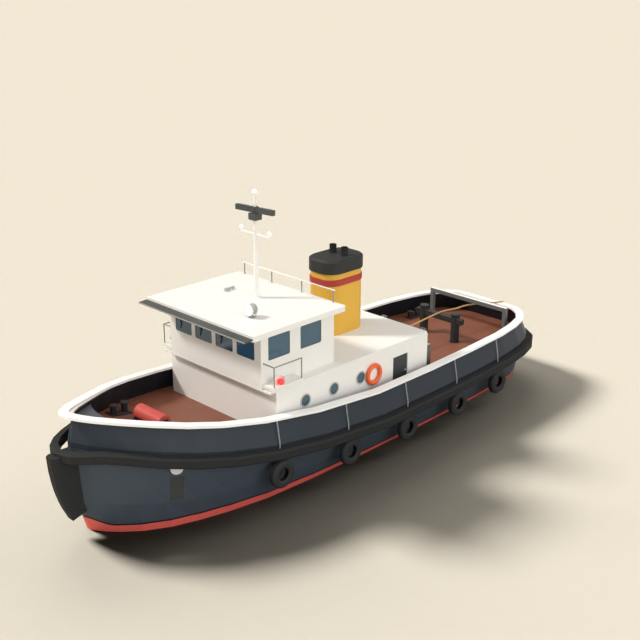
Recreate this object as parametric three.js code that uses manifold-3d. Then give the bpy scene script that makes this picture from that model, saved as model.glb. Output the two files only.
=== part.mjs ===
// A single-screw harbour tug of about 23 m, in millimetres: +X to the bow, +Y to port, +Z up.
// The origin is on the centreline amidships at the waterline.
import * as THREE from "three";
import { mergeVertices } from "three/addons/utils/BufferGeometryUtils.js";
import Module from "manifold-3d";

const wasm = await Module();
wasm.setup();

// Clearance between pieces that touch, and each half's distance from the centreline
const FIT = 0.3;
const HALF_FIT = 0.2;

const paint = (color, roughness, metalness) =>
  new THREE.MeshStandardMaterial({ color, roughness, metalness });
const NAVY = paint(0x42484f, 0.55, 0.1);
const WHITE = paint(0xe8e4dc, 0.45, 0.05);
const BLACK = paint(0x2c2c2c, 0.6, 0.1);
const DARK = paint(0x55565a, 0.5, 0.2);
const GREY = paint(0x77787a, 0.5, 0.3);
const RED = paint(0xc2483f, 0.5, 0.1);
const YELLOW = paint(0xd8a24a, 0.5, 0.1);
const ORANGE = paint(0xe05a2c, 0.6, 0);
const RUBBER = paint(0x303030, 0.9, 0);
const GLASS = paint(0x506470, 0.1, 0);
const BRONZE = paint(0x9a7438, 0.35, 0.9);
const ROPE = paint(0xbea064, 0.9, 0);

const root = new THREE.Group();

// Solids: joining, cutting and placing

function toSolid(geometry) {
  const bare = geometry.clone();
  bare.deleteAttribute("normal");
  bare.deleteAttribute("uv");
  const merged = mergeVertices(bare, 1e-3);
  return new wasm.Manifold(
    new wasm.Mesh({
      numProp: 3,
      vertProperties: merged.attributes.position.array,
      triVerts: new Uint32Array(merged.index.array),
    }),
  );
}

function toGeometry(solid) {
  const made = solid.getMesh();
  const geometry = new THREE.BufferGeometry();
  geometry.setAttribute("position", new THREE.BufferAttribute(made.vertProperties, 3));
  geometry.setIndex(new THREE.BufferAttribute(made.triVerts, 1));
  return geometry;
}

const joined = (solids) => solids.reduce((whole, piece) => whole.add(piece));
const cut = (solid, tools) => tools.reduce((left, tool) => left.subtract(tool), solid);

function addMesh(name, solid, material, mirrored = false) {
  const mesh = new THREE.Mesh(toGeometry(solid), material);
  mesh.name = name;
  if (mirrored) mesh.scale.y = -1;
  root.add(mesh);
  return mesh;
}

// The same solid on the port side and, mirrored, on the starboard side
function addPair(name, solid, material) {
  addMesh(name + "_port", solid, material);
  addMesh(name + "_starboard", solid, material, true);
}

function box(x, y, z) {
  const geometry = new THREE.BoxGeometry(x[1] - x[0], y[1] - y[0], z[1] - z[0]);
  geometry.translate((x[0] + x[1]) / 2, (y[0] + y[1]) / 2, (z[0] + z[1]) / 2);
  return toSolid(geometry);
}

// A round bar or cone between two points
function bar(from, to, radius, sides = 10, endRadius = radius) {
  const a = new THREE.Vector3(...from);
  const b = new THREE.Vector3(...to);
  const geometry = new THREE.CylinderGeometry(endRadius, radius, a.distanceTo(b), sides);
  const up = new THREE.Vector3(0, 1, 0);
  const along = b.clone().sub(a).normalize();
  geometry.applyQuaternion(new THREE.Quaternion().setFromUnitVectors(up, along));
  const middle = a.add(b).multiplyScalar(0.5);
  geometry.translate(middle.x, middle.y, middle.z);
  return toSolid(geometry);
}

function ball(centre, radius, sides = 10) {
  const geometry = new THREE.SphereGeometry(radius, sides, Math.ceil(sides / 2));
  geometry.translate(...centre);
  return toSolid(geometry);
}

// A bent rail: bars with a ball at each inner corner
function rail(points, radius, sides = 8) {
  const pieces = points.slice(1).map((point, i) => bar(points[i], point, radius, sides));
  points.slice(1, -1).forEach((point) => pieces.push(ball(point, radius * 1.02, sides)));
  return joined(pieces);
}

const outlineShape = (points) => new THREE.Shape(points.map(([a, b]) => new THREE.Vector2(a, b)));

// A shape in the XZ plane, extruded across the boat from y0 to y1
function plateXZ(shape, y0, y1, curveSegments = 5) {
  const settings = { depth: y1 - y0, bevelEnabled: false, curveSegments };
  const geometry = new THREE.ExtrudeGeometry(shape, settings);
  geometry.rotateX(Math.PI / 2);
  geometry.translate(0, y1, 0);
  return toSolid(geometry);
}

// A shape in the YZ plane, extruded along the boat from x0 to x1
function plateYZ(shape, x0, x1, curveSegments = 5) {
  const settings = { depth: x1 - x0, bevelEnabled: false, curveSegments };
  const geometry = new THREE.ExtrudeGeometry(shape, settings);
  const turn = new THREE.Matrix4().makeBasis(
    new THREE.Vector3(0, 1, 0),
    new THREE.Vector3(0, 0, 1),
    new THREE.Vector3(1, 0, 0),
  );
  geometry.applyMatrix4(turn);
  geometry.translate(x0, 0, 0);
  return toSolid(geometry);
}

// An outline in the XY plane, extruded upwards from z0 to z1
function plateXY(shape, z0, z1, curveSegments = 5) {
  const settings = { depth: z1 - z0, bevelEnabled: false, curveSegments };
  const geometry = new THREE.ExtrudeGeometry(shape, settings);
  geometry.translate(0, 0, z0);
  return toSolid(geometry);
}

function roundedRectangle(x0, x1, y0, y1, r) {
  const shape = new THREE.Shape();
  shape.moveTo(x0 + r, y0);
  shape.lineTo(x1 - r, y0);
  shape.absarc(x1 - r, y0 + r, r, -Math.PI / 2, 0);
  shape.lineTo(x1, y1 - r);
  shape.absarc(x1 - r, y1 - r, r, 0, Math.PI / 2);
  shape.lineTo(x0 + r, y1);
  shape.absarc(x0 + r, y1 - r, r, Math.PI / 2, Math.PI);
  shape.lineTo(x0, y0 + r);
  shape.absarc(x0 + r, y0 + r, r, Math.PI, 1.5 * Math.PI);
  return shape;
}

// A closed skin over sections with the same even number of points; each end is closed by
// strips between point k and its partner at the other end of the list.
function loft(sections) {
  const count = sections[0].length;
  const position = sections.flat(2);
  const at = (i, k) => i * count + (k % count);
  const index = [];
  for (let i = 0; i < sections.length - 1; i++) {
    for (let k = 0; k < count; k++) {
      index.push(at(i, k), at(i + 1, k), at(i + 1, k + 1));
      index.push(at(i, k), at(i + 1, k + 1), at(i, k + 1));
    }
  }
  const last = sections.length - 1;
  for (let k = 0; k < count / 2 - 1; k++) {
    const far = count - 1 - k;
    index.push(at(0, k), at(0, k + 1), at(0, far - 1), at(0, k), at(0, far - 1), at(0, far));
    index.push(at(last, k + 1), at(last, k), at(last, far));
    index.push(at(last, k + 1), at(last, far), at(last, far - 1));
  }
  const geometry = new THREE.BufferGeometry();
  geometry.setAttribute("position", new THREE.Float32BufferAttribute(position, 3));
  geometry.setIndex(index);
  const merged = mergeVertices(geometry, 1e-3);
  const turned = signedVolume(merged) < 0;
  if (turned) merged.setIndex(Array.from(merged.index.array).reverse());
  return toSolid(merged);
}

function signedVolume(geometry) {
  const points = geometry.attributes.position;
  const index = geometry.index.array;
  const [a, b, c] = [new THREE.Vector3(), new THREE.Vector3(), new THREE.Vector3()];
  let sum = 0;
  for (let i = 0; i < index.length; i += 3) {
    a.fromBufferAttribute(points, index[i]);
    b.fromBufferAttribute(points, index[i + 1]);
    c.fromBufferAttribute(points, index[i + 2]);
    sum += a.dot(b.cross(c));
  }
  return sum / 6;
}

const lerp = THREE.MathUtils.lerp;

// Hull lines. u runs from 0 at the transom to 1 at the stem.
// cap: half-breadth of the cap rail's outer edge; edge: of the hull at its deck edge;
// water: at the waterline; bottom: height of the body's underside on the centreline
const STATIONS = [
  { u: 0, cap: 1450, edge: 1500, water: 1450, bottom: -150 },
  { u: 0.006, cap: 1830, edge: 1900, water: 1780, bottom: -170 },
  { u: 0.02, cap: 2250, edge: 2360, water: 2120, bottom: -220 },
  { u: 0.05, cap: 2740, edge: 2800, water: 2340, bottom: -320 },
  { u: 0.09, cap: 3020, edge: 3100, water: 2470, bottom: -460 },
  { u: 0.15, cap: 3250, edge: 3340, water: 2570, bottom: -640 },
  { u: 0.25, cap: 3410, edge: 3510, water: 2700, bottom: -1350 },
  { u: 0.37, cap: 3520, edge: 3620, water: 2760, bottom: -2100 },
  { u: 0.51, cap: 3610, edge: 3710, water: 2800, bottom: -2450 },
  { u: 0.64, cap: 3490, edge: 3590, water: 2790, bottom: -2500 },
  { u: 0.74, cap: 3240, edge: 3350, water: 2700, bottom: -2500 },
  { u: 0.81, cap: 2860, edge: 2980, water: 2450, bottom: -2450 },
  { u: 0.86, cap: 2410, edge: 2540, water: 2180, bottom: -2400 },
  { u: 0.905, cap: 1830, edge: 1980, water: 1850, bottom: -2300 },
  { u: 0.943, cap: 1280, edge: 1380, water: 1400, bottom: -2100 },
  { u: 0.97, cap: 860, edge: 880, water: 900, bottom: -1800 },
  { u: 0.985, cap: 560, edge: 540, water: 540, bottom: -1450 },
  { u: 0.995, cap: 280, edge: 230, water: 230, bottom: -1150 },
  { u: 1, cap: 90, edge: 90, water: 90, bottom: -900 },
];
const DECK_STERN_X = -11650;
const DECK_STEM_X = 11090;
const WATER_STERN_X = -11150;
const WATER_STEM_X = 10620;
const STEM_UPRIGHT_Z = 2400;
const CAP_STERN_X = -11450;
const CAP_STEM_X = 11330;
const SHEER_FROM_X = -2000;
const SHEER_LOW_Z = 2750;
const SHEER_RISE = 9e-6;
const BULWARK_HEIGHT = 850;
const KEEL_HALF = 150;
const FULLNESS = 2.6;
const BILGE_STEPS = 5;

// Underside of the cap rail, a parabola forward of the low point
const railZ = (x) => SHEER_LOW_Z + SHEER_RISE * Math.max(0, x - SHEER_FROM_X) ** 2;
const deckEdgeX = (u) => lerp(DECK_STERN_X, DECK_STEM_X, u);
const deckAt = (u) => railZ(deckEdgeX(u)) - BULWARK_HEIGHT;

// The deck is flat across and straight between stations
function deckZ(x) {
  const u = (x - DECK_STERN_X) / (DECK_STEM_X - DECK_STERN_X);
  const i = Math.max(1, STATIONS.findIndex((station) => station.u >= u));
  const [a, b] = [STATIONS[i - 1].u, STATIONS[i].u];
  return lerp(deckAt(a), deckAt(b), (u - a) / (b - a));
}

// Ends of the hull at a height: the stem curves aft below STEM_UPRIGHT_Z, the counter forward
function hullX(u, z, top) {
  const low = Math.min(1, z / Math.min(top, STEM_UPRIGHT_Z));
  const stem = DECK_STEM_X - (DECK_STEM_X - WATER_STEM_X) * (1 - low) ** 2;
  const rise = z > 0 ? z / top : 0;
  const stern = lerp(WATER_STERN_X, DECK_STERN_X, rise) - Math.min(0, z) * 1.1;
  return lerp(stern, stem, u);
}

function hullSide(station, share) {
  const top = deckAt(station.u);
  const z = share * top;
  return [hullX(station.u, z, top), lerp(station.water, station.edge, share), z];
}

function hullBilge(station, turn) {
  const angle = (turn * Math.PI) / 2;
  const reach = Math.sin(angle) ** (2 / FULLNESS);
  const depth = Math.cos(angle) ** (2 / FULLNESS);
  const keel = Math.min(KEEL_HALF, station.water / 2);
  const z = station.bottom * depth;
  return [hullX(station.u, z, STEM_UPRIGHT_Z), lerp(keel, station.water, reach), z];
}

// Belt fender on the hull side: its top and bottom lines are also lines of the hull's skin
const BELT_DROP = 110;
const BELT_HEIGHT = 370;
const BELT_REACH = 330;
const beltShares = (station) => {
  const top = deckAt(station.u);
  return [(top - BELT_DROP - BELT_HEIGHT) / top, (top - BELT_DROP) / top];
};

function hullHalf() {
  const sections = STATIONS.map((station) => {
    const turns = Array.from({ length: BILGE_STEPS }, (_, k) => k / BILGE_STEPS);
    const below = turns.map((turn) => hullBilge(station, turn));
    const [low, high] = beltShares(station);
    const side = [0, 0.35, low, high, 1].map((share) => hullSide(station, share));
    const skin = [...below, ...side];
    const middle = skin.map(([x, , z]) => [x, 0, z]).reverse();
    return [...skin, ...middle];
  });
  return loft(sections);
}

// Centreline pieces below the body: deadwood, sole piece, stern boss and rudder trunk
const KEEL_Z = -2750;
const SHAFT_Z = -1640;
const BOSS_X = -7500;
const BOSS_RADIUS = 210;
const RUDDER_X = -9250;
const TRUNK_Z = -700;
const SOLE_Z = -2610;
const TRUNK_RADIUS = 150;

function centreline() {
  const deadwood = [
    [BOSS_X + 150, KEEL_Z],
    [6900, KEEL_Z],
    [8000, -2560],
    [8700, -2200],
    [9300, -1780],
    [9700, -1430],
    [9500, -1200],
    [2000, -2200],
    [-3000, -1900],
    [-6000, -1150],
    [BOSS_X + 150, -700],
  ];
  return [
    plateXZ(outlineShape(deadwood), -KEEL_HALF, KEEL_HALF),
    box([RUDDER_X - 250, BOSS_X + 400], [-KEEL_HALF, KEEL_HALF], [KEEL_Z, SOLE_Z]),
    bar([BOSS_X, 0, SHAFT_Z], [BOSS_X + 900, 0, SHAFT_Z], BOSS_RADIUS, 16, BOSS_RADIUS * 1.1),
    bar([RUDDER_X, 0, TRUNK_Z], [RUDDER_X, 0, -100], TRUNK_RADIUS, 16),
  ];
}

const half = hullHalf();
const hullSolid = joined([half, half.mirror([0, 1, 0]), ...centreline()]);
addMesh("hull", hullSolid, NAVY);

// What lies against the hull's side is cut by it, grown by about a fit
const hullGrown = hullSolid.scale([1.00003, 1.0001, 1]);

// Cap rail: a flat white ring, ahead of the stem at the bow
const RAIL_WIDTH = 330;
const RAIL_THICKNESS = 90;
const CAP_OUTLINE = STATIONS.map(({ u, cap }) => [lerp(CAP_STERN_X, CAP_STEM_X, u), cap]);
CAP_OUTLINE[CAP_OUTLINE.length - 1][1] = HALF_FIT;
CAP_OUTLINE.unshift([CAP_STERN_X, HALF_FIT]);

// Unit vectors in plan that point inboard, square to a port outline from stern to bow
function inwardNormals(line) {
  return line.map((point, i) => {
    if (i === 0) return [1, 0];
    if (i === line.length - 1) return [-1, 0];
    const [before, after] = [line[i - 1], line[i + 1]];
    const along = new THREE.Vector2(after[0] - before[0], after[1] - before[1]).normalize();
    return [along.y, -along.x];
  });
}

function alongLine(line, x, column) {
  const i = Math.max(1, line.findIndex((point) => point[0] >= x));
  const [a, b] = [line[i - 1], line[i]];
  return lerp(a[column], b[column], (x - a[0]) / (b[0] - a[0]));
}
const capY = (x) => alongLine(CAP_OUTLINE, x, 1);
const capZ = (x) => alongLine(CAP_OUTLINE.map(([at]) => [at, railZ(at)]), x, 1);

function capSections(outset, width, low, high) {
  const inward = inwardNormals(CAP_OUTLINE);
  return CAP_OUTLINE.map(([x, y], i) => {
    const [nx, ny] = inward[i];
    const z = railZ(x);
    const out = [x - nx * outset, Math.max(y - ny * outset, HALF_FIT)];
    const into = [x + nx * width, Math.max(y + ny * width, HALF_FIT)];
    return [[...into, z + low], [...out, z + low], [...out, z + high], [...into, z + high]];
  });
}
addPair("cap_rail", loft(capSections(0, RAIL_WIDTH, 0, RAIL_THICKNESS)), WHITE);

// The room above the rail's underside, to trim what stands under it
const ABOVE_RAIL = 600;
const aboveRail = loft(
  CAP_OUTLINE.map(([x]) => [
    [x, -200, railZ(x) - FIT],
    [x, 4200, railZ(x) - FIT],
    [x, 4200, railZ(x) + ABOVE_RAIL],
    [x, -200, railZ(x) + ABOVE_RAIL],
  ]),
);

// Bulwarks lean in from the deck edge to under the cap rail and meet at stem and transom
const BULWARK_THICKNESS = 70;
const BULWARK_STEM_X = 10860;
const BULWARK_STERN_X = -11320;
const UNDER_RAIL = 130;
const BULWARK_OVER = 60;

function bulwarkSections() {
  const rows = STATIONS.map(({ u, cap, edge }) => {
    const topX = lerp(BULWARK_STERN_X, BULWARK_STEM_X, u);
    const topY = Math.max(cap - UNDER_RAIL, 60);
    return { x: deckEdgeX(u), y: edge - 5, topX, topY, foot: deckAt(u) };
  });
  const centre = { ...rows[0], y: HALF_FIT, topY: HALF_FIT };
  const walls = rows.map((row) => [row, 0, BULWARK_THICKNESS]);
  walls[0] = [rows[0], BULWARK_THICKNESS, BULWARK_THICKNESS];
  walls.unshift([centre, BULWARK_THICKNESS, 0]);
  return walls.map(([{ x, y, topX, topY, foot }, forward, inboard]) => [
    [x + forward, Math.max(y - inboard, HALF_FIT), foot + FIT],
    [x, y, foot + FIT],
    [topX, topY, railZ(topX) + BULWARK_OVER],
    [topX + forward, Math.max(topY - inboard, HALF_FIT), railZ(topX) + BULWARK_OVER],
  ]);
}

// Breasthook: the plate that ties the bulwarks together behind the stem, under the rail
const BREAST = { x: 9750, sideX: 8300, sideY: 1950, drop: 130, thickness: 50 };

function breasthook() {
  const top = loft(
    bulwarkSections()
      .filter(([, foot]) => foot[0] > 8000)
      .map(([, foot, head]) => [
        [head[0], HALF_FIT, head[2] - BULWARK_OVER - BREAST.drop - BREAST.thickness],
        [head[0], head[1] - 20, head[2] - BULWARK_OVER - BREAST.drop - BREAST.thickness],
        [head[0], head[1] - 20, head[2] - BULWARK_OVER - BREAST.drop],
        [head[0], HALF_FIT, head[2] - BULWARK_OVER - BREAST.drop],
      ]),
  );
  const opening = new THREE.Shape();
  opening.moveTo(BREAST.sideX - 2000, -100);
  opening.lineTo(BREAST.x, -100);
  opening.absellipse(
    BREAST.sideX,
    -100,
    BREAST.x - BREAST.sideX,
    BREAST.sideY + 100,
    0,
    Math.PI / 2,
  );
  opening.lineTo(BREAST.sideX - 2000, BREAST.sideY + 100);
  return top.subtract(plateXY(opening, 2500, 5000, 6));
}

const bulwarkSolid = joined([loft(bulwarkSections()), breasthook()]).subtract(aboveRail);
addPair("bulwark", bulwarkSolid, NAVY);

// Belt fender: against the hull side, but standing off the stem at the bow, where it is flatter
const BELT_BOW = [
  { x: 9830, y: 1480, rise: 80 },
  { x: 10430, y: 1040, rise: 75 },
  { x: 10860, y: 740, rise: 25 },
  { x: 11180, y: 420, rise: -40 },
  { x: 11340, y: HALF_FIT, rise: -70 },
];
const BELT_INTO_HULL = 150;
const BELT_BEVEL = 60;
const BELT_NOTCH_HALF = 60;
const BELT_NOTCH_DEPTH = 85;

// With room, the sections of the space that the belt and its clearance fill
function beltSections(room = 0) {
  const onHull = STATIONS.length - BELT_BOW.length;
  const heads = STATIONS.map((station, i) => {
    const [x, y, z] = hullSide(station, beltShares(station)[1]);
    const bow = BELT_BOW[i - onHull];
    if (bow) return { x: bow.x, y: bow.y, z: z + bow.rise, into: -BELT_BEVEL };
    return { x, y, z, into: BELT_INTO_HULL };
  });
  heads.unshift({ ...heads[0], y: HALF_FIT });
  const normals = inwardNormals(heads.map(({ x, y }) => [x, y]));
  return heads.map(({ x, y, z, into }, i) => {
    const [nx, ny] = normals[i];
    const middle = HALF_FIT - 2 * room;
    const at = (reach, height) => [x - nx * reach, Math.max(y - ny * reach, middle), height];
    const [top, bottom, outer] = [z + room, z - BELT_HEIGHT - room, BELT_REACH + room];
    return [
      at(-into - room, top),
      at(-Math.max(into, 2 * into) - room, bottom),
      at(outer - BELT_BEVEL, bottom),
      at(outer, bottom + BELT_BEVEL),
      at(outer, top - BELT_BEVEL),
      at(outer - BELT_BEVEL, top),
    ];
  });
}

// Tyre fenders under the belt, each on a chain from the cap rail through a notch in the belt
const TYRES = [
  { x: 5020, y: 3490, z: 1280, chain: 5020 },
  { x: 1720, y: 3630, z: 1005, chain: 1880 },
  { x: -1500, y: 3630, z: 885, chain: -1370 },
  { x: -4600, y: 3650, z: 885, chain: -4520 },
  { x: -7580, y: 3440, z: 885, chain: -7540 },
];
const TYRE_RADIUS = 520;
const TYRE_TUBE = 145;
const CHAIN_RADIUS = 18;
const CHAIN_OFF = 30;

function sideY(x, z) {
  const rows = STATIONS.map((station) => hullSide(station, z / deckAt(station.u)));
  return alongLine(rows, x, 1);
}
const edgeY = (x) => sideY(x, deckZ(x));

const notches = TYRES.map(({ chain: x }) => {
  const y = edgeY(x);
  const z = deckZ(x);
  return box(
    [x - BELT_NOTCH_HALF, x + BELT_NOTCH_HALF],
    [y - 800, y + BELT_NOTCH_DEPTH],
    [z - 3 * BELT_HEIGHT, z + BELT_HEIGHT],
  );
});
const beltSolid = cut(loft(beltSections()), [hullGrown, ...notches]);
addPair("belt_fender", beltSolid, RUBBER);

function tyre({ x, y, z, chain }) {
  const ring = new THREE.TorusGeometry(TYRE_RADIUS - TYRE_TUBE, TYRE_TUBE, 8, 20);
  ring.rotateX(Math.PI / 2);
  ring.translate(x, y, z);
  const deck = deckZ(chain);
  const links = rail(
    [
      [chain, capY(chain) - 45, capZ(chain) + RAIL_THICKNESS],
      [chain, edgeY(chain) + CHAIN_OFF, deck + 60],
      [chain, edgeY(chain) + CHAIN_OFF, deck - BELT_DROP - BELT_HEIGHT],
      [x, y, z + TYRE_RADIUS - TYRE_TUBE],
    ],
    CHAIN_RADIUS,
    6,
  );
  return toSolid(ring).add(links.subtract(aboveRail));
}
TYRES.forEach((place, i) => addPair("tyre_fender_" + (i + 1), tyre(place), RUBBER));

// Stem fender: a rubber block down the raked stem, chamfered each side, under the belt's bow;
// its lower end is cut square to the stem
const STEM_FENDER = { half: 230, nose: 140, chamfer: 130, aft: 10100, cut: 110, cutAft: 400 };
const STEM_NOSE = [
  { x: 11270, z: 640 },
  { x: 11485, z: 1100 },
  { x: 11595, z: 1400 },
  { x: 11710, z: 1800 },
  { x: 11790, z: 2200 },
  { x: 11850, z: 2600 },
  { x: 11885, z: 3120 },
];
const STEM_TOP_Z = 3120;
const stemBlock = loft(
  STEM_NOSE.map(({ x, z }) => {
    const { half: side, nose, chamfer, aft, cut: lift, cutAft } = STEM_FENDER;
    const share = (STEM_TOP_Z - z) / (STEM_TOP_Z - STEM_NOSE[0].z);
    return [
      [aft, -side, z + cutAft * share],
      [x - chamfer, -side, z + lift * share],
      [x, -nose, z],
      [x, nose, z],
      [x - chamfer, side, z + lift * share],
      [aft, side, z + cutAft * share],
    ];
  }),
);
const beltRoom = loft(beltSections(FIT));
const stemFender = cut(stemBlock, [hullGrown, beltRoom, beltRoom.mirror([0, 1, 0])]);
const largest = (solid) => solid.decompose().sort((a, b) => b.volume() - a.volume())[0];
addMesh("stem_fender", largest(stemFender), RUBBER);

// Deckhouse: four walls on the deck and a top deck that runs forward under the wheelhouse
const DECKHOUSE = { aft: -3440, front: 4680, half: 2890, top: 4100 };
const WALL = 80;
const TOP_THICKNESS = 70;
const TOP_FRONT_X = 4990;
const WALL_TOP_Z = DECKHOUSE.top - TOP_THICKNESS - FIT;
const SIDE_DOOR = { aft: -2260, front: -1410, sill: 2060, head: 3550 };

// The foot of what stands on the deck follows its straight runs between the hull's stations
function footLine(x0, x1, lift = FIT) {
  const inside = STATIONS.map(({ u }) => deckEdgeX(u)).filter((x) => x > x0 && x < x1);
  return [x0, ...inside, x1].map((x) => [x, deckZ(x) + lift]);
}
function deckPlate(x0, x1, y0, y1, thickness) {
  const outline = [...footLine(x0, x1), ...footLine(x0, x1, thickness).reverse()];
  return plateXZ(outlineShape(outline), y0, y1);
}

const sideOutline = [
  ...footLine(DECKHOUSE.aft, DECKHOUSE.front),
  [DECKHOUSE.front, WALL_TOP_Z],
  [DECKHOUSE.aft, WALL_TOP_Z],
];
const sideWall = plateXZ(outlineShape(sideOutline), DECKHOUSE.half - WALL, DECKHOUSE.half);
const doorHole = box(
  [SIDE_DOOR.aft, SIDE_DOOR.front],
  [DECKHOUSE.half - 2 * WALL, DECKHOUSE.half + WALL],
  [SIDE_DOOR.sill, SIDE_DOOR.head],
);

// Hinges: a door's knuckle stands on a wall's knuckle
const DOOR_GAP = 12;
const DOOR_THICKNESS = 50;
const KNUCKLE = { radius: 22, half: 80, off: 12, hinge: 300 };
const hingeHeights = ({ sill, head }) => [sill + KNUCKLE.hinge, head - KNUCKLE.hinge];
const sideDoorY = [DECKHOUSE.half - WALL, DECKHOUSE.half - WALL + DOOR_THICKNESS];
const SIDE_HINGE = { x: SIDE_DOOR.front, y: sideDoorY[0] - KNUCKLE.radius - KNUCKLE.off };

function knuckle({ x, y }, low, high) {
  return bar([x, y, low], [x, y, high], KNUCKLE.radius, 12);
}
const sideKnuckles = hingeHeights(SIDE_DOOR).flatMap((z) => {
  const [low, high] = [z - 3 * KNUCKLE.half, z - KNUCKLE.half - FIT];
  const across = [SIDE_HINGE.y - 5, DECKHOUSE.half - WALL + 5];
  const strap = box([SIDE_HINGE.x + 5, SIDE_HINGE.x + 160], across, [low, high]);
  return [knuckle(SIDE_HINGE, low, high), strap];
});
addPair("deckhouse_side", joined([sideWall.subtract(doorHole), ...sideKnuckles]), WHITE);

function crossWall(x0, x1, z0) {
  const y = DECKHOUSE.half - WALL - FIT;
  return box([x0, x1], [-y, y], [z0 + FIT, WALL_TOP_Z]);
}
addMesh(
  "deckhouse_front",
  crossWall(DECKHOUSE.front - WALL, DECKHOUSE.front, deckZ(DECKHOUSE.front)),
  WHITE,
);
const LOCKER = { depth: 350, y: [2150, 2800], z: [2050, 3450] };
const locker = box([DECKHOUSE.aft - LOCKER.depth, DECKHOUSE.aft + 10], LOCKER.y, LOCKER.z);
addMesh(
  "deckhouse_aft",
  crossWall(DECKHOUSE.aft, DECKHOUSE.aft + WALL, deckZ(DECKHOUSE.aft + WALL)).add(locker),
  WHITE,
);

// Floodlights hang over the aft edge of the top deck, each on a strap
const FLOODLIGHTS = [550, 2590];
const flood = (y) =>
  joined([
    box([DECKHOUSE.aft - 140, DECKHOUSE.aft - 3], [y - 110, y + 110], [3990, 4140]),
    box([DECKHOUSE.aft - 20, DECKHOUSE.aft + 60], [y - 40, y + 40], [4040, 4115]),
  ]);
// Bridge wings: a step on the top deck beside the wheelhouse, with a brim past the ship's side
const WING_DECK = { x: [3540, 4950], inner: 2487 + FIT, half: 3060, z: [4175, 4286], inset: 180 };
const wingDeck = joined([
  box(WING_DECK.x, [WING_DECK.inner, WING_DECK.half], WING_DECK.z),
  box(
    [WING_DECK.x[0] + 60, WING_DECK.x[1] - 60],
    [WING_DECK.inner, WING_DECK.half - WING_DECK.inset],
    [DECKHOUSE.top - 5, WING_DECK.z[0] + 5],
  ),
]);
const SIDELIGHT = { x: 4530, y: 2960, z: 4405, radius: 110 };
const lightFoot = WING_DECK.z[1] - 5;
const sidelight = joined([
  box([SIDELIGHT.x - 170, SIDELIGHT.x + 170], [2805, 2830], [lightFoot, SIDELIGHT.z + 150]),
  box([SIDELIGHT.x - 170, SIDELIGHT.x - 145], [2805, 3020], [lightFoot, SIDELIGHT.z + 150]),
  bar([SIDELIGHT.x, SIDELIGHT.y, lightFoot], [SIDELIGHT.x, SIDELIGHT.y, SIDELIGHT.z], 75, 10),
  ball([SIDELIGHT.x, SIDELIGHT.y, SIDELIGHT.z], SIDELIGHT.radius, 12),
]);
const wings = joined([wingDeck, sidelight]);
const topPlate = plateXY(
  roundedRectangle(DECKHOUSE.aft, TOP_FRONT_X, -DECKHOUSE.half, DECKHOUSE.half, 60),
  DECKHOUSE.top - TOP_THICKNESS,
  DECKHOUSE.top,
  3,
);
addMesh(
  "deckhouse_top",
  joined([topPlate, ...FLOODLIGHTS.map(flood), wings, wings.mirror([0, 1, 0])]),
  WHITE,
);

// Side doors open inwards, because the side deck is narrower than a door
function sideDoor() {
  const leaf = box(
    [SIDE_DOOR.aft + DOOR_GAP, SIDE_DOOR.front - DOOR_GAP],
    sideDoorY,
    [SIDE_DOOR.sill + DOOR_GAP, SIDE_DOOR.head - DOOR_GAP],
  );
  const handleX = [SIDE_DOOR.aft + 60, SIDE_DOOR.aft + 190];
  const handle = box(handleX, [sideDoorY[1] - 5, sideDoorY[1] + 40], [2790, 2820]);
  const { x, y } = SIDE_HINGE;
  const hinges = hingeHeights(SIDE_DOOR).flatMap((z) => {
    const tall = [z - KNUCKLE.half, z + KNUCKLE.half];
    return [
      knuckle(SIDE_HINGE, ...tall),
      box([x - 160, x - 5], [y - 5, sideDoorY[0] - 2], tall),
      box([x - 160, x - 60], [y - 5, sideDoorY[0] + 5], tall),
    ];
  });
  return joined([leaf, handle, ...hinges]);
}
addPair("deckhouse_door", sideDoor(), DARK);

// Wheelhouse on the top deck: four walls with window openings
const HOUSE = { aft: 1445, front: 4988, half: 2487, foot: DECKHOUSE.top + FIT, top: 6130 };
const WINDOW = { z: [5070, 5920], round: 60 };
const FRONT_WINDOWS = [
  [-2151, -1228],
  [-1025, -102],
  [102, 1025],
  [1228, 2151],
];
const SIDE_WINDOWS = [
  [2090, 3120],
  [3630, 4650],
];
const AFT_WINDOWS = [
  [-2050, -950],
  [950, 2050],
];
const AFT_DOOR = { y: [-425, 425], sill: 4250, head: 5950 };
const windowShape = ([a, b]) => roundedRectangle(a, b, ...WINDOW.z, WINDOW.round);
const HOUSE_INNER = HOUSE.half - WALL - FIT;
const HOUSE_TOP = HOUSE.top - FIT;

const HOUSE_Z = [HOUSE.foot, HOUSE_TOP];
const ACROSS = [-HOUSE_INNER, HOUSE_INNER];

const houseSide = box([HOUSE.aft, HOUSE.front], [HOUSE.half - WALL, HOUSE.half], HOUSE_Z);
const sideWindows = SIDE_WINDOWS.map((x) =>
  plateXZ(windowShape(x), HOUSE.half - 2 * WALL, HOUSE.half + WALL, 3),
);
addPair("wheelhouse_side", cut(houseSide, sideWindows), WHITE);
const houseFront = box([HOUSE.front - WALL, HOUSE.front], ACROSS, HOUSE_Z);
const frontWindows = FRONT_WINDOWS.map((y) =>
  plateYZ(windowShape(y), HOUSE.front - 2 * WALL, HOUSE.front + WALL, 3),
);
addMesh("wheelhouse_front", cut(houseFront, frontWindows), WHITE);
const houseAft = box([HOUSE.aft, HOUSE.aft + WALL], ACROSS, HOUSE_Z);
const throughAft = [HOUSE.aft - WALL, HOUSE.aft + 2 * WALL];
const aftHoles = AFT_WINDOWS.map((y) => plateYZ(windowShape(y), ...throughAft, 3));
aftHoles.push(box(throughAft, AFT_DOOR.y, [AFT_DOOR.sill, AFT_DOOR.head]));
const AFT_HINGE = { x: HOUSE.aft - KNUCKLE.radius - KNUCKLE.off, y: AFT_DOOR.y[0] };
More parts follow.
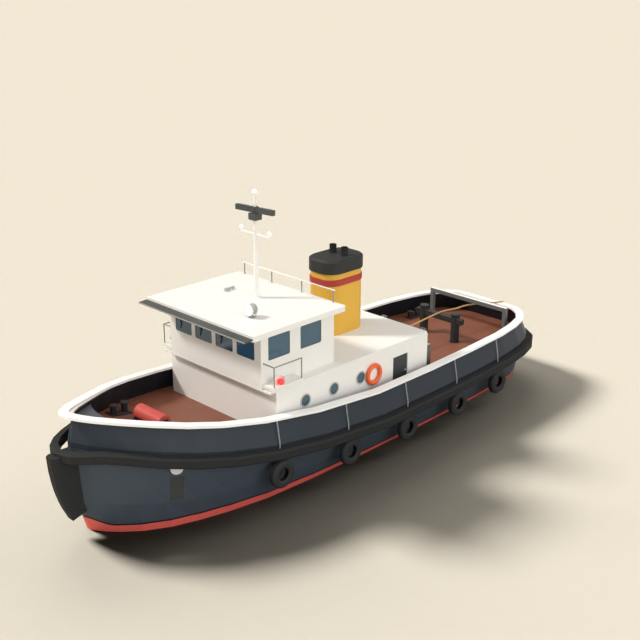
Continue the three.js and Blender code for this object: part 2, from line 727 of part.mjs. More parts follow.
const aftKnuckles = hingeHeights(AFT_DOOR).flatMap((z) => {
  const [low, high] = [z - 3 * KNUCKLE.half, z - KNUCKLE.half - FIT];
  const strap = box([AFT_HINGE.x - 5, HOUSE.aft + 5], [AFT_HINGE.y - 160, AFT_HINGE.y - 5], [low, high]);
  return [knuckle(AFT_HINGE, low, high), strap];
});
addMesh("wheelhouse_aft", joined([cut(houseAft, aftHoles), ...aftKnuckles]), WHITE);

// Panes behind the openings, one sheet a wall; the aft sheet passes over the door
const PANE = 14;
const PANE_MARGIN = 45;
const paneZ = [WINDOW.z[0] - PANE_MARGIN, WINDOW.z[1] + PANE_MARGIN];
const frontPaneX = HOUSE.front - WALL - FIT;
addMesh(
  "glass_front",
  box([frontPaneX - PANE, frontPaneX], [-2151 - PANE_MARGIN, 2151 + PANE_MARGIN], paneZ),
  GLASS,
);
const sidePaneY = HOUSE.half - WALL - FIT;
addPair(
  "glass_side",
  box([2090 - PANE_MARGIN, 4650 + PANE_MARGIN], [sidePaneY - PANE, sidePaneY], paneZ),
  GLASS,
);
const aftPaneX = HOUSE.aft + WALL + FIT;
const aftPaneY = [-2050 - PANE_MARGIN, 2050 + PANE_MARGIN];
const aftPane = box([aftPaneX, aftPaneX + PANE], aftPaneY, [paneZ[0], 6080]);
const overDoor = box(
  [aftPaneX - PANE, aftPaneX + 2 * PANE],
  [-480, 480],
  [WINDOW.z[0] - WALL, AFT_DOOR.head + 30],
);
addMesh("glass_aft", aftPane.subtract(overDoor), GLASS);

// The aft door opens outwards over the top deck
const aftDoorX = [HOUSE.aft + 2, HOUSE.aft + 2 + DOOR_THICKNESS];

function aftDoor() {
  const leaf = box(
    aftDoorX,
    [AFT_DOOR.y[0] + DOOR_GAP, AFT_DOOR.y[1] - DOOR_GAP],
    [AFT_DOOR.sill + DOOR_GAP, AFT_DOOR.head - DOOR_GAP],
  );
  const light = plateYZ(roundedRectangle(-200, 200, 5250, 5750, 50), ...throughAft, 3);
  const handleY = [AFT_DOOR.y[1] - 160, AFT_DOOR.y[1] - 50];
  const handle = box([aftDoorX[0] - 50, aftDoorX[0] + 5], handleY, [5040, 5070]);
  const { x, y } = AFT_HINGE;
  const hinges = hingeHeights(AFT_DOOR).flatMap((z) => {
    const tall = [z - KNUCKLE.half, z + KNUCKLE.half];
    return [
      knuckle(AFT_HINGE, ...tall),
      box([x - 5, aftDoorX[0] - 7], [y + 5, y + 160], tall),
      box([x - 5, aftDoorX[0] + 5], [y + 60, y + 160], tall),
    ];
  });
  return joined([leaf.subtract(light), handle, ...hinges]);
}
addMesh("wheelhouse_door", aftDoor(), WHITE);

// Roof with the horn; the visor is a thin brow along its front edge
const ROOF = { aft: 1250, front: 5690, half: 2900, top: 6330 };
const roofPlate = plateXY(
  roundedRectangle(ROOF.aft, ROOF.front, -ROOF.half, ROOF.half, 90),
  HOUSE.top,
  ROOF.top,
  3,
);
const HORN_Z = ROOF.top + 75;
const horn = joined([
  bar([2810, -1363, HORN_Z], [3120, -1337, HORN_Z], 42, 10),
  bar([3090, -1340, HORN_Z], [3270, -1325, HORN_Z], 42, 12, 68),
  bar([2870, -1358, ROOF.top - 10], [2870, -1358, HORN_Z], 28, 8),
  bar([3060, -1342, ROOF.top - 10], [3060, -1342, HORN_Z], 28, 8),
]);
addMesh("wheelhouse_roof", roofPlate.add(horn), WHITE);
const VISOR_OUTLINE = [
  [ROOF.front + FIT, 6190],
  [6040, 6172],
  [6062, 6186],
  [6062, 6210],
  [6040, 6224],
  [ROOF.front + FIT, 6242],
];
addMesh("wheelhouse_visor", plateXZ(outlineShape(VISOR_OUTLINE), -2880, 2880), DARK);

// Funnel: a proud band near its top, a wider black cap with a chamfered edge, two exhausts
const FUNNEL = {
  x: -1230,
  long: 990,
  half: 720,
  round: 530,
  band: [6100, 6350],
  top: 6580,
  capTop: 7100,
  chamfer: 55,
};
const funnelShape = (out) =>
  roundedRectangle(
    FUNNEL.x - FUNNEL.long - out,
    FUNNEL.x + FUNNEL.long + out,
    -FUNNEL.half - out,
    FUNNEL.half + out,
    FUNNEL.round + out,
  );
const casing = joined([
  plateXY(funnelShape(0), DECKHOUSE.top + FIT, FUNNEL.top, 6),
  plateXY(funnelShape(22), ...FUNNEL.band, 6),
]);
addMesh("funnel_casing", casing, YELLOW);
const EXHAUST = { x: -1380, y: 310, radius: 140, top: 7420 };
const upright = (x, y, z0, z1, radius) => bar([x, y, z0], [x, y, z1], radius, 16);
const exhausts = [-EXHAUST.y, EXHAUST.y].map((y) =>
  upright(EXHAUST.x, y, FUNNEL.capTop - 50, EXHAUST.top, EXHAUST.radius).subtract(
    upright(EXHAUST.x, y, FUNNEL.capTop + 60, EXHAUST.top + 50, EXHAUST.radius - 20),
  ),
);
const capBody = wasm.Manifold.hull([
  plateXY(funnelShape(30), FUNNEL.top + FIT, FUNNEL.capTop - FUNNEL.chamfer, 6),
  plateXY(funnelShape(-15), FUNNEL.capTop - FUNNEL.chamfer, FUNNEL.capTop, 6),
]);
addMesh("funnel_cap", joined([capBody, ...exhausts]), BLACK);

// Mast: a tapered pole with a yard, its lamps, the radar's gearbox and the top light
const MAST = { x: 2910, foot: 108, head: 66, top: 9260 };
const YARD = { z: 8710, half: 730, end: 8860, radius: 40, lamp: 80 };
const GEARBOX = { half: 171, z: [9250, 9490] };
const SPINDLE = { radius: 52, top: 10250, lamp: 98 };
const at = (y, z) => [MAST.x, y, z];
const yardLine = [
  at(-YARD.half, YARD.end),
  at(-YARD.half, YARD.z),
  at(YARD.half, YARD.z),
  at(YARD.half, YARD.end),
];
const mast = joined([
  bar(at(0, ROOF.top + FIT), at(0, ROOF.top + 40), 170, 16),
  bar(at(0, ROOF.top + 30), at(0, MAST.top), MAST.foot, 14, MAST.head),
  rail(yardLine, YARD.radius, 8),
  ball(at(-YARD.half, YARD.end), YARD.lamp, 10),
  ball(at(YARD.half, YARD.end), YARD.lamp, 10),
  box(
    [MAST.x - GEARBOX.half, MAST.x + GEARBOX.half],
    [-GEARBOX.half, GEARBOX.half],
    GEARBOX.z,
  ),
  bar(at(0, GEARBOX.z[1] - 10), at(0, SPINDLE.top), SPINDLE.radius, 10),
  ball(at(0, SPINDLE.top), SPINDLE.lamp, 12),
]);
addMesh("mast", mast, WHITE);

// Radar scanner, turning about the mast's axis round the top light's spindle
const SCANNER = { half: 865, depth: 75, z: [9510, 9700], turn: 7.4, hub: 120, bore: 62 };
const scannerArm = box(
  [MAST.x - SCANNER.depth, MAST.x + SCANNER.depth],
  [-SCANNER.half, SCANNER.half],
  SCANNER.z,
);
const scannerHub = bar(at(0, GEARBOX.z[1] + FIT), at(0, SCANNER.z[1] + 20), SCANNER.hub, 16);
const scannerBore = bar(at(0, GEARBOX.z[0]), at(0, SPINDLE.top), SCANNER.bore, 16);
const scanner = scannerArm
  .add(scannerHub)
  .subtract(scannerBore)
  .translate([-MAST.x, 0, 0])
  .rotate([0, 0, SCANNER.turn])
  .translate([MAST.x, 0, 0]);
addMesh("radar_scanner", scanner, WHITE);

// Searchlight on its yoke, facing forward
const SEARCH = { x: 4436, y: 1440, z: 6625, radius: 210, half: 159 };
const inSearch = (along, z) => [SEARCH.x + along, SEARCH.y, z];
const searchlight = joined([
  bar(inSearch(-SEARCH.half, SEARCH.z), inSearch(SEARCH.half, SEARCH.z), SEARCH.radius, 18),
  bar(inSearch(0, ROOF.top + FIT), inSearch(0, SEARCH.z), 60, 10),
  bar(inSearch(0, ROOF.top + FIT), inSearch(0, ROOF.top + 35), 140, 14),
]);
addMesh("searchlight", searchlight, WHITE);

// Rails on the roof's aft edge and on the wings beside the wheelhouse
const RAIL = 24;
const ROOF_RAIL = { x: 1330, posts: [-2440, -900, 720, 2330], ends: [-2530, 2410], z: 6800 };
const onRoofRail = (y, z) => [ROOF_RAIL.x, y, z];
const roofRail = joined([
  ...ROOF_RAIL.posts.map((y) =>
    bar(onRoofRail(y, ROOF.top + FIT), onRoofRail(y, ROOF_RAIL.z), RAIL, 8),
  ),
  bar(onRoofRail(ROOF_RAIL.ends[0], ROOF_RAIL.z), onRoofRail(ROOF_RAIL.ends[1], ROOF_RAIL.z), RAIL, 8),
]);
addMesh("roof_rail", roofRail, WHITE);

const WING = { front: 4884, aft: 3595, y: 3020, z: 5035 };
const wingFoot = WING_DECK.z[1] + FIT;
const wingTop = [
  [WING.front, HOUSE.half + 5, WING.z],
  [WING.front, WING.y, WING.z],
  [WING.aft - RAIL, WING.y, WING.z],
];
const wingRail = joined([
  bar([WING.front, WING.y, wingFoot], [WING.front, WING.y, WING.z], RAIL, 8),
  bar([WING.aft, WING.y, wingFoot], [WING.aft, WING.y, WING.z], RAIL, 8),
  rail(wingTop, RAIL, 8),
]);
addPair("wing_rail", wingRail, WHITE);

// Windlass: a drum that turns on a fixed shaft between two brackets
const WINDLASS = { x: 7850, z: 3240, ends: [-640, 760], drum: 270, shaft: 50, bore: 55, cheek: 45 };
const [DRUM_RIGHT, DRUM_LEFT] = WINDLASS.ends;
const bracketOutline = [
  ...footLine(WINDLASS.x - 330, WINDLASS.x + 330, 25),
  [WINDLASS.x + 110, WINDLASS.z + 110],
  [WINDLASS.x - 110, WINDLASS.z + 110],
];
const brackets = [
  [DRUM_RIGHT - FIT - WINDLASS.cheek, DRUM_RIGHT - FIT],
  [DRUM_LEFT + FIT, DRUM_LEFT + FIT + WINDLASS.cheek],
].map(([y0, y1]) => plateXZ(outlineShape(bracketOutline), y0, y1));
const axle = (y0, y1, radius, sides) =>
  bar([WINDLASS.x, y0, WINDLASS.z], [WINDLASS.x, y1, WINDLASS.z], radius, sides);
const stand = joined([
  deckPlate(WINDLASS.x - 420, WINDLASS.x + 420, DRUM_RIGHT - 180, DRUM_LEFT + 180, 30),
  ...brackets,
  axle(DRUM_RIGHT - 40, DRUM_LEFT + 40, WINDLASS.shaft, 16),
]);
addMesh("windlass_stand", stand, DARK);
const drum = axle(DRUM_RIGHT, DRUM_LEFT, WINDLASS.drum, 20).subtract(
  axle(DRUM_RIGHT - 200, DRUM_LEFT + 200, WINDLASS.bore, 16),
);
addMesh("windlass_drum", drum, RED);

// Bollards in pairs on a deck plate
const BOLLARD = { radius: 112, cap: 148, rim: 50 };

function bollards(posts) {
  const xs = posts.map(([x]) => x);
  const ys = posts.map(([, y]) => y);
  const reach = BOLLARD.radius + 60;
  const plate = deckPlate(
    Math.min(...xs) - reach,
    Math.max(...xs) + reach,
    Math.min(...ys) - reach,
    Math.max(...ys) + reach,
    30,
  );
  const bodies = posts.flatMap(([x, y, height]) => {
    const z = deckZ(x);
    return [
      upright(x, y, z + 15, z + height, BOLLARD.radius),
      upright(x, y, z + height - BOLLARD.rim, z + height, BOLLARD.cap),
    ];
  });
  return joined([plate, ...bodies]).subtract(hullGrown.translate([0, 0, FIT]));
}
const FORE_BOLLARDS = [
  [8200, 1725, 380],
  [7660, 1840, 400],
];
const AFT_BOLLARDS = [
  [-8840, 2500, 340],
  [-9330, 2460, 340],
];
addPair("bollards_fore", bollards(FORE_BOLLARDS), BLACK);
addPair("bollards_aft", bollards(AFT_BOLLARDS), BLACK);

// Towing bitt, gantry and hook
const BITT = { x: -7865, y: 870, radius: 190, top: 3200, beamZ: 2880, beam: 120, reach: 1250 };
const aftDeck = (x) => deckZ(x) + FIT;
const bittFoot = aftDeck(BITT.x);
const bitt = joined([
  ...[-BITT.y, BITT.y].flatMap((y) => [
    bar([BITT.x, y, bittFoot], [BITT.x, y, BITT.top], BITT.radius, 18),
    bar([BITT.x, y, bittFoot], [BITT.x, y, bittFoot + 20], BITT.radius + 40, 18),
  ]),
  bar([BITT.x, -BITT.reach, BITT.beamZ], [BITT.x, BITT.reach, BITT.beamZ], BITT.beam, 14),
]);
addMesh("tow_bitt", bitt, BLACK);

const GANTRY = { x: -9900, y: 2030, half: 85, top: 3250, deep: 180 };
const gantryX = [GANTRY.x - GANTRY.half, GANTRY.x + GANTRY.half];
const gantryReach = GANTRY.y + GANTRY.half;
const gantry = joined([
  ...[-GANTRY.y, GANTRY.y].map((y) =>
    box(gantryX, [y - GANTRY.half, y + GANTRY.half], [aftDeck(GANTRY.x), GANTRY.top]),
  ),
  box(gantryX, [-gantryReach, gantryReach], [GANTRY.top - GANTRY.deep, GANTRY.top]),
]);
addMesh("tow_gantry", gantry, GREY);

const HOOK = { x: DECKHOUSE.aft, z: 2790 };
const hook = joined([
  box([HOOK.x - 40, HOOK.x - FIT], [-220, 220], [HOOK.z - 260, HOOK.z + 260]),
  box([HOOK.x - 330, HOOK.x - 30], [-45, 45], [HOOK.z - 90, HOOK.z + 30]),
  box([HOOK.x - 420, HOOK.x - 300], [-45, 45], [HOOK.z - 90, HOOK.z + 90]),
]);
addMesh("tow_hook", hook, BLACK);

// Hawse plates under the belt
function onSide(solid, x, z) {
  const step = 200;
  const alongX = new THREE.Vector3(2 * step, sideY(x + step, z) - sideY(x - step, z), 0);
  const alongZ = new THREE.Vector3(0, sideY(x, z + step) - sideY(x, z - step), 2 * step);
  const out = alongZ.cross(alongX).normalize();
  const right = new THREE.Vector3(0, 0, 1).cross(out).normalize();
  const up = out.clone().cross(right);
  const place = new THREE.Matrix4().makeBasis(right, up, out);
  place.setPosition(x, sideY(x, z), z);
  return solid.transform(place.elements);
}
const HAWSE = { x: 8500, z: 2300, radius: 215, off: 45 };
const beltUnder = beltSolid.translate([0, 0, -1]);
const disc = bar([0, 0, -80], [0, 0, HAWSE.off], HAWSE.radius, 24);
const hawse = cut(onSide(disc, HAWSE.x, HAWSE.z), [
  hullGrown,
  beltUnder,
  beltUnder.translate([0, -100, 0]),
]);
addPair("hawse", largest(hawse), GREY);

// Below the waterline: rudder on its stock, and a four-bladed propeller
const BLADE_FRONT = -8850;
const BLADE_AFT = -10350;
const rudderShape = new THREE.Shape();
rudderShape.moveTo(BLADE_AFT, -15);
rudderShape.lineTo(BLADE_AFT, 15);
rudderShape.quadraticCurveTo(RUDDER_X - 300, 170, RUDDER_X, 150);
rudderShape.quadraticCurveTo(BLADE_FRONT + 10, 130, BLADE_FRONT, 0);
rudderShape.quadraticCurveTo(BLADE_FRONT + 10, -130, RUDDER_X, -150);
rudderShape.quadraticCurveTo(RUDDER_X - 300, -170, BLADE_AFT, -15);
const rudder = joined([
  plateXY(rudderShape, SOLE_Z + 60, TRUNK_Z - 60, 6),
  bar([RUDDER_X, 0, SOLE_Z + FIT], [RUDDER_X, 0, TRUNK_Z - FIT], 90, 14),
]);
addMesh("rudder", rudder, RED);

const PROPELLER = { hub: 190, length: 520, radius: 850, blades: 4, pitch: 1500 };
const SECTIONS = [
  { r: 120, chord: 360, thick: 80 },
  { r: 330, chord: 480, thick: 62 },
  { r: 540, chord: 600, thick: 42 },
  { r: 740, chord: 520, thick: 28 },
  { r: 850, chord: 220, thick: 14 },
];
function blade() {
  const middle = BOSS_X - FIT - PROPELLER.length / 2;
  return loft(
    SECTIONS.map(({ r, chord, thick }) => {
      const angle = Math.atan2(PROPELLER.pitch, 2 * Math.PI * r);
      const ring = [
        [-0.5, 0],
        [-0.2, 0.45],
        [0.25, 0.5],
        [0.5, 0],
        [0.25, -0.5],
        [-0.2, -0.45],
      ];
      return ring.map(([along, across]) => {
        const [u, v] = [along * chord, across * thick];
        const x = u * Math.sin(angle) + v * Math.cos(angle);
        const y = u * Math.cos(angle) - v * Math.sin(angle);
        return [middle + x, y, SHAFT_Z + r];
      });
    }),
  );
}
const onShaft = (x) => [BOSS_X - x, 0, SHAFT_Z];
const hub = joined([
  bar(onShaft(FIT), onShaft(FIT + PROPELLER.length), PROPELLER.hub, 20, 150),
  bar(onShaft(PROPELLER.length), onShaft(PROPELLER.length + 180), 145, 20, 50),
]);
const blades = Array.from({ length: PROPELLER.blades }, (_, i) =>
  blade()
    .translate([0, 0, -SHAFT_Z])
    .rotate([(360 / PROPELLER.blades) * i + 20, 0, 0])
    .translate([0, 0, SHAFT_Z]),
);
addMesh("propeller", joined([hub, ...blades]), BRONZE);

// Lifebuoys on the deckhouse sides
const BUOY = { x: -240, z: 3260, radius: 340, tube: 80 };
const buoyRing = new THREE.TorusGeometry(BUOY.radius, BUOY.tube, 12, 24);
buoyRing.rotateX(Math.PI / 2);
buoyRing.translate(BUOY.x, DECKHOUSE.half + BUOY.tube + FIT, BUOY.z);
addPair("lifebuoy", toSolid(buoyRing), ORANGE);

// Tow rope, held from the hook over the bitt and under the gantry to the stern rail
const ROPE_RADIUS = 38;
const ROPE_ROUTE = [
  [-3863, 0, 2820],
  [-6000, 0, 2930],
  [-7865, 0, 3041],
  [-8900, 40, 2935],
  [-9900, 120, 2950],
  [-11200, 700, 2878.2],
  [-11480, 830, 2878.2],
];
addMesh("tow_rope", rail(ROPE_ROUTE, ROPE_RADIUS, 10), ROPE);

export default root;
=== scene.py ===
import math

import bmesh
import bpy
from mathutils import Matrix, Vector
from mathutils.bvhtree import BVHTree


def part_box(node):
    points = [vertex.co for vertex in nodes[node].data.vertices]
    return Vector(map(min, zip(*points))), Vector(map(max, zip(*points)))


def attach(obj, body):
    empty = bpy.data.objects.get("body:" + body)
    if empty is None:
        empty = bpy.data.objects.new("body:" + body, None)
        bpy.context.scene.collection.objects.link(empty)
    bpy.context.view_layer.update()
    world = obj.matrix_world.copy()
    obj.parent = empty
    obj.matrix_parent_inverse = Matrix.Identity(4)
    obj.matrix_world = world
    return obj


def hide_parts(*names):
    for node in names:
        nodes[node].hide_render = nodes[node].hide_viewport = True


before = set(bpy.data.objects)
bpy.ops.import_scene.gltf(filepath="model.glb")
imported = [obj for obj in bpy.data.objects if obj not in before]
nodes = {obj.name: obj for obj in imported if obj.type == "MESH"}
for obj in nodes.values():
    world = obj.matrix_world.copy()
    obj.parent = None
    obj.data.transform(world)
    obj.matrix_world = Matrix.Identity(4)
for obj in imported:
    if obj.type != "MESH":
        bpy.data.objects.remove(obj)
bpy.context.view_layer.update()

# Camera
# The photograph looks down on the port bow from about 43 m away, through a lens of 60 mm.
CAMERA_AT = (27.28, 27.36, 18.82)
LENS, SENSOR_WIDTH, VIEW_REACH = 59.88, 36.0, 3000.0
HEADING, DIP, ROLL = math.radians(-135.287), math.radians(-20.057), 0.0018
camera_data = bpy.data.cameras.new("camera")
camera_data.lens = LENS
camera_data.sensor_width = SENSOR_WIDTH
camera_data.clip_end = VIEW_REACH
camera = bpy.data.objects.new("camera", camera_data)
look = Vector((math.cos(HEADING) * math.cos(DIP), math.sin(HEADING) * math.cos(DIP), math.sin(DIP)))
turn = look.to_track_quat("-Z", "Y").to_matrix().to_4x4() @ Matrix.Rotation(ROLL, 4, "Z")
camera.matrix_world = Matrix.Translation(CAMERA_AT) @ turn
bpy.context.scene.collection.objects.link(camera)
bpy.context.scene.camera = camera

# Studio: paper floor, sun and soft fills
# The floor is a sheet of warm paper at the waterline. A sun stands on the starboard bow and broad low
# fills light the port side; the paper has lamps of its own, which set the depth of the shadow on it.
def linear(code):
    """The linear colour of an sRGB hex code, for a shader's socket."""
    values = [int(code[i:i + 2], 16) / 255 for i in (1, 3, 5)]
    return tuple(v / 12.92 if v <= 0.04045 else ((v + 0.055) / 1.055) ** 2.4 for v in values) + (1.0,)


def set_up(node, settings=None, links=None):
    """Gives a node its settings, by property or input, and feeds its inputs by its links.

    A hex code sets its linear colour. A link is (node, output), or a node for its first output.
    """
    for key, value in (settings or {}).items():
        if isinstance(value, str) and value.startswith("#"):
            value = linear(value)
        if isinstance(key, int) or key in node.inputs:
            node.inputs[key].default_value = value
        else:
            setattr(node, key, value)
    for key, link in (links or {}).items():
        source, output = link if isinstance(link, tuple) else (link, 0)
        node.id_data.links.new(source.outputs[output], node.inputs[key])
    return node


def add_node(tree, kind, settings=None, links=None):
    """Adds one node with its settings and links."""
    return set_up(tree.nodes.new(kind), settings, links)


def new_material(name):
    """A material, its tree, its shader, and the link that gives a point's place in metres."""
    material = bpy.data.materials.new(name)
    material.use_nodes = True
    tree = material.node_tree
    place = (add_node(tree, "ShaderNodeTexCoord"), "Object")
    return material, tree, tree.nodes["Principled BSDF"], place


# Uncoated paper: quite matt, with fibre clouds about half a metre wide
backdrop_paper, tree, shader, place = new_material("backdrop_paper")
fibres = add_node(tree, "ShaderNodeTexNoise", {"Scale": 2.0, "Detail": 3.0}, {"Vector": place})
tone = add_node(tree, "ShaderNodeMix", {"data_type": "RGBA", 6: "#403d37", 7: "#423f39"}, {0: fibres})
set_up(shader, {"Roughness": 0.95, "Specular IOR Level": 0.0}, {"Base Color": (tone, 2)})

FLOOR_REACH = 900.0
floor_corners = [(x * FLOOR_REACH, y * FLOOR_REACH, 0) for x, y in ((-1, -1), (1, -1), (1, 1), (-1, 1))]
floor_mesh = bpy.data.meshes.new("floor")
floor_mesh.from_pydata(floor_corners, [], [(0, 1, 2, 3)])
floor_mesh.materials.append(backdrop_paper)
floor = bpy.data.objects.new("floor", floor_mesh)
bpy.context.scene.collection.objects.link(floor)

world = bpy.data.worlds.new("studio")
world.use_nodes = True
set_up(world.node_tree.nodes["Background"], {"Color": "#fffaf2", "Strength": 0.35})
bpy.context.scene.world = world
bpy.context.scene.view_settings.view_transform = "Standard"

floor_only = bpy.data.collections.new("floor_only")
floor_only.objects.link(floor)
not_floor = bpy.data.collections.new("not_floor")
not_floor.objects.link(floor)
not_floor.collection_objects[0].light_linking.link_state = "EXCLUDE"

# Where each light comes from (azimuth and elevation in degrees), its width in degrees, its
# strength and colour, and what it reaches
LIGHTS = {
    "sun": (-45.5, 43, 9, 2.45, "#fffaf3", not_floor),
    "fill_low": (90, 12, 60, 1.35, "#fbfcff", not_floor),
    "fill_middle": (75, 35, 60, 0.25, "#fffaf4", not_floor),
    "fill_above": (45, 85, 90, 0.85, "#fffdfb", not_floor),
    "floor_sun": (-70, 39.2, 14, 57.0, "#ffffff", floor_only),
    "floor_astern": (180, 12, 50, 24.5, "#ffffff", floor_only),
    "floor_quarter": (-125, 30, 50, 20.0, "#ffffff", floor_only),
}
for name, (azimuth, elevation, width, strength, colour, receivers) in LIGHTS.items():
    lamp = bpy.data.lights.new(name, "SUN")
    lamp.energy = strength
    lamp.angle = math.radians(width)
    lamp.color = linear(colour)[:3]
    light = bpy.data.objects.new(name, lamp)
    a, e = math.radians(azimuth), math.radians(elevation)
    source = Vector((math.cos(a) * math.cos(e), math.sin(a) * math.cos(e), math.sin(e)))
    light.rotation_euler = source.to_track_quat("Z", "Y").to_euler()
    bpy.context.scene.collection.objects.link(light)
    light.light_linking.receiver_collection = receivers

# Hull
# Welded 8 mm steel plate under two brushed coats of alkyd enamel: blue-grey topsides, a red boot-top
# that deepens towards the bow, and an oxide-red deck with grit rolled into it.
def enamel_finish(tree, shader, place, colour, roughness, chalk="#b9b6ae", haze=0.05):
    """Brushed marine enamel on plate: faint chalking, brush grain and slow waves in the steel.

    colour is a hex code, or the (node, output) that paints it.
    """
    cloud_at = add_node(tree, "ShaderNodeMapping", {"Scale": (0.7, 0.7, 0.9)}, {"Vector": place})
    cloud = add_node(tree, "ShaderNodeTexNoise", {"Scale": 1.0, "Detail": 4.0, "Roughness": 0.55},
                     {"Vector": cloud_at})
    chalking = add_node(tree, "ShaderNodeMapRange", {"From Min": 0.35, "From Max": 0.75, "To Max": haze},
                        {"Value": cloud})
    tint = add_node(tree, "ShaderNodeMix", {"data_type": "RGBA", 7: chalk}, {0: chalking})
    if isinstance(colour, str):
        set_up(tint, {6: colour})
    else:
        set_up(tint, None, {6: colour})
    gloss = add_node(tree, "ShaderNodeMapRange", {"To Min": roughness - 0.05, "To Max": roughness + 0.09},
                     {"Value": cloud})
    # Plate between frames 0.6 m apart is never quite flat: slow waves 4 mm deep show in the shine.
    # Brush marks of 2 mm are drawn at 12 mm.
    wave_at = add_node(tree, "ShaderNodeMapping", {"Scale": (1.67, 1.67, 1.1)}, {"Vector": place})
    wave = add_node(tree, "ShaderNodeTexNoise", {"Scale": 1.0, "Detail": 1.0}, {"Vector": wave_at})
    plate = add_node(tree, "ShaderNodeBump", {"Strength": 0.2, "Distance": 0.004}, {"Height": wave})
    brush_at = add_node(tree, "ShaderNodeMapping", {"Scale": (14, 14, 83)}, {"Vector": place})
    brush = add_node(tree, "ShaderNodeTexNoise", {"Scale": 1.0, "Detail": 2.0}, {"Vector": brush_at})
    grain = add_node(tree, "ShaderNodeBump", {"Strength": 0.3, "Distance": 0.0005},
                     {"Height": brush, "Normal": plate})
    set_up(shader, {"Specular IOR Level": 0.2},
           {"Base Color": (tint, 2), "Roughness": gloss, "Normal": grain})
    return grain


def coat(material, *names):
    """Puts a material on CAD nodes; a name that ends in _ stands for both sides."""
    for name in names:
        for full in ((name + "port", name + "starboard") if name.endswith("_") else (name,)):
            nodes[full].data.materials.clear()
            nodes[full].data.materials.append(material)


TOPSIDES_LIT_TONE, STRAKE_SHADE_TONE, BOOT_TOP, BOOT_EDGE = "#454e58", "#323a43", "#e4655c", "#141518"
DECK_OXIDE, DECK_WORN = "#8a5845", "#7f4f3e"
# The boot-top's height aft and forward, its rise at the stem, and where along X each change runs
BOOT_AFT, BOOT_BOW, BOOT_RISE = 0.16, 0.27, 0.32
BOOT_SWEEP, STEM_SWEEP = (-2.0, 7.5), (10.1, 10.95)
# A dark line tops it. The strake above the belt takes the bulwark's darker tone and the plate below it a
# lighter one, painted shade and painted light on plating of one colour. The belt hides the strake's
# edge, which follows the sheer, a parabola forward of its start
DARK_LINE = (0.050, 0.070)
STRAKE_Z, SHEER_START, SHEER_CURVE = 1.694, -2.0, 0.009
DECK_OVER, FACING_UP = 1.2, 0.7
HULL_COAT = {"roughness": 0.42, "chalk": "#6d7074", "haze": 0.03}
hull_enamel, tree, shader, place = new_material("hull_enamel")
spot = add_node(tree, "ShaderNodeSeparateXYZ", None, {"Vector": place})
geometry = add_node(tree, "ShaderNodeNewGeometry")
facing = add_node(tree, "ShaderNodeSeparateXYZ", None, {"Vector": (geometry, "Normal")})
boot_height = add_node(tree, "ShaderNodeMapRange", {
    "interpolation_type": "SMOOTHSTEP", "From Min": BOOT_SWEEP[0], "From Max": BOOT_SWEEP[1],
    "To Min": BOOT_AFT, "To Max": BOOT_BOW}, {"Value": (spot, "X")})
stem_rise = add_node(tree, "ShaderNodeMapRange", {
    "interpolation_type": "SMOOTHSTEP", "From Min": STEM_SWEEP[0], "From Max": STEM_SWEEP[1],
    "To Max": BOOT_RISE}, {"Value": (spot, "X")})
boot_line = add_node(tree, "ShaderNodeMath", {"operation": "ADD"}, {0: boot_height, 1: stem_rise})
above_boot = add_node(tree, "ShaderNodeMath", {"operation": "SUBTRACT"}, {0: (spot, "Z"), 1: boot_line})
is_topside = add_node(tree, "ShaderNodeMapRange", {"From Min": -0.004, "From Max": 0.004},
                      {"Value": above_boot})
past_edge = add_node(tree, "ShaderNodeMapRange", {"From Min": DARK_LINE[0], "From Max": DARK_LINE[1]},
                     {"Value": above_boot})
forward = add_node(tree, "ShaderNodeMath", {"operation": "SUBTRACT", 1: SHEER_START}, {0: (spot, "X")})
swept_part = add_node(tree, "ShaderNodeMath", {"operation": "MAXIMUM", 1: 0.0}, {0: forward})
squared = add_node(tree, "ShaderNodeMath", {"operation": "POWER", 1: 2.0}, {0: swept_part})
sheer = add_node(tree, "ShaderNodeMath", {"operation": "MULTIPLY", 1: SHEER_CURVE}, {0: squared})
under_sheer = add_node(tree, "ShaderNodeMath", {"operation": "SUBTRACT"}, {0: (spot, "Z"), 1: sheer})
strake_shade_mask = add_node(tree, "ShaderNodeMath", {"operation": "GREATER_THAN", 1: STRAKE_Z}, {0: under_sheer})
# The strake's darker tone is painted shade and the lighter topside tone is painted light: the plate is one
# colour
topside_light_and_shade = add_node(tree, "ShaderNodeMix", {"data_type": "RGBA", 6: TOPSIDES_LIT_TONE, 7: STRAKE_SHADE_TONE},
                       {0: strake_shade_mask})
topside_paint = add_node(tree, "ShaderNodeMix", {"data_type": "RGBA", 6: BOOT_EDGE},
                         {0: past_edge, 7: (topside_light_and_shade, 2)})
side_paint = add_node(tree, "ShaderNodeMix", {"data_type": "RGBA", 6: BOOT_TOP},
                      {0: is_topside, 7: (topside_paint, 2)})
is_up = add_node(tree, "ShaderNodeMath", {"operation": "GREATER_THAN", 1: FACING_UP}, {0: (facing, "Z")})
is_high = add_node(tree, "ShaderNodeMath", {"operation": "GREATER_THAN", 1: DECK_OVER}, {0: (spot, "Z")})
is_deck = add_node(tree, "ShaderNodeMath", {"operation": "MULTIPLY"}, {0: is_up, 1: is_high})
# Paths that feet polish into the deck paint are about a metre wide
trodden = add_node(tree, "ShaderNodeTexNoise", {"Scale": 0.9, "Detail": 5.0}, {"Vector": place})
worn = add_node(tree, "ShaderNodeMapRange", {"From Min": 0.45, "From Max": 0.7}, {"Value": trodden})
deck_paint = add_node(tree, "ShaderNodeMix", {"data_type": "RGBA", 6: DECK_OXIDE, 7: DECK_WORN},
                      {0: worn})
hull_paint = add_node(tree, "ShaderNodeMix", {"data_type": "RGBA"},
                      {0: is_deck, 6: (side_paint, 2), 7: (deck_paint, 2)})
brushed = enamel_finish(tree, shader, place, (hull_paint, 2), **HULL_COAT)
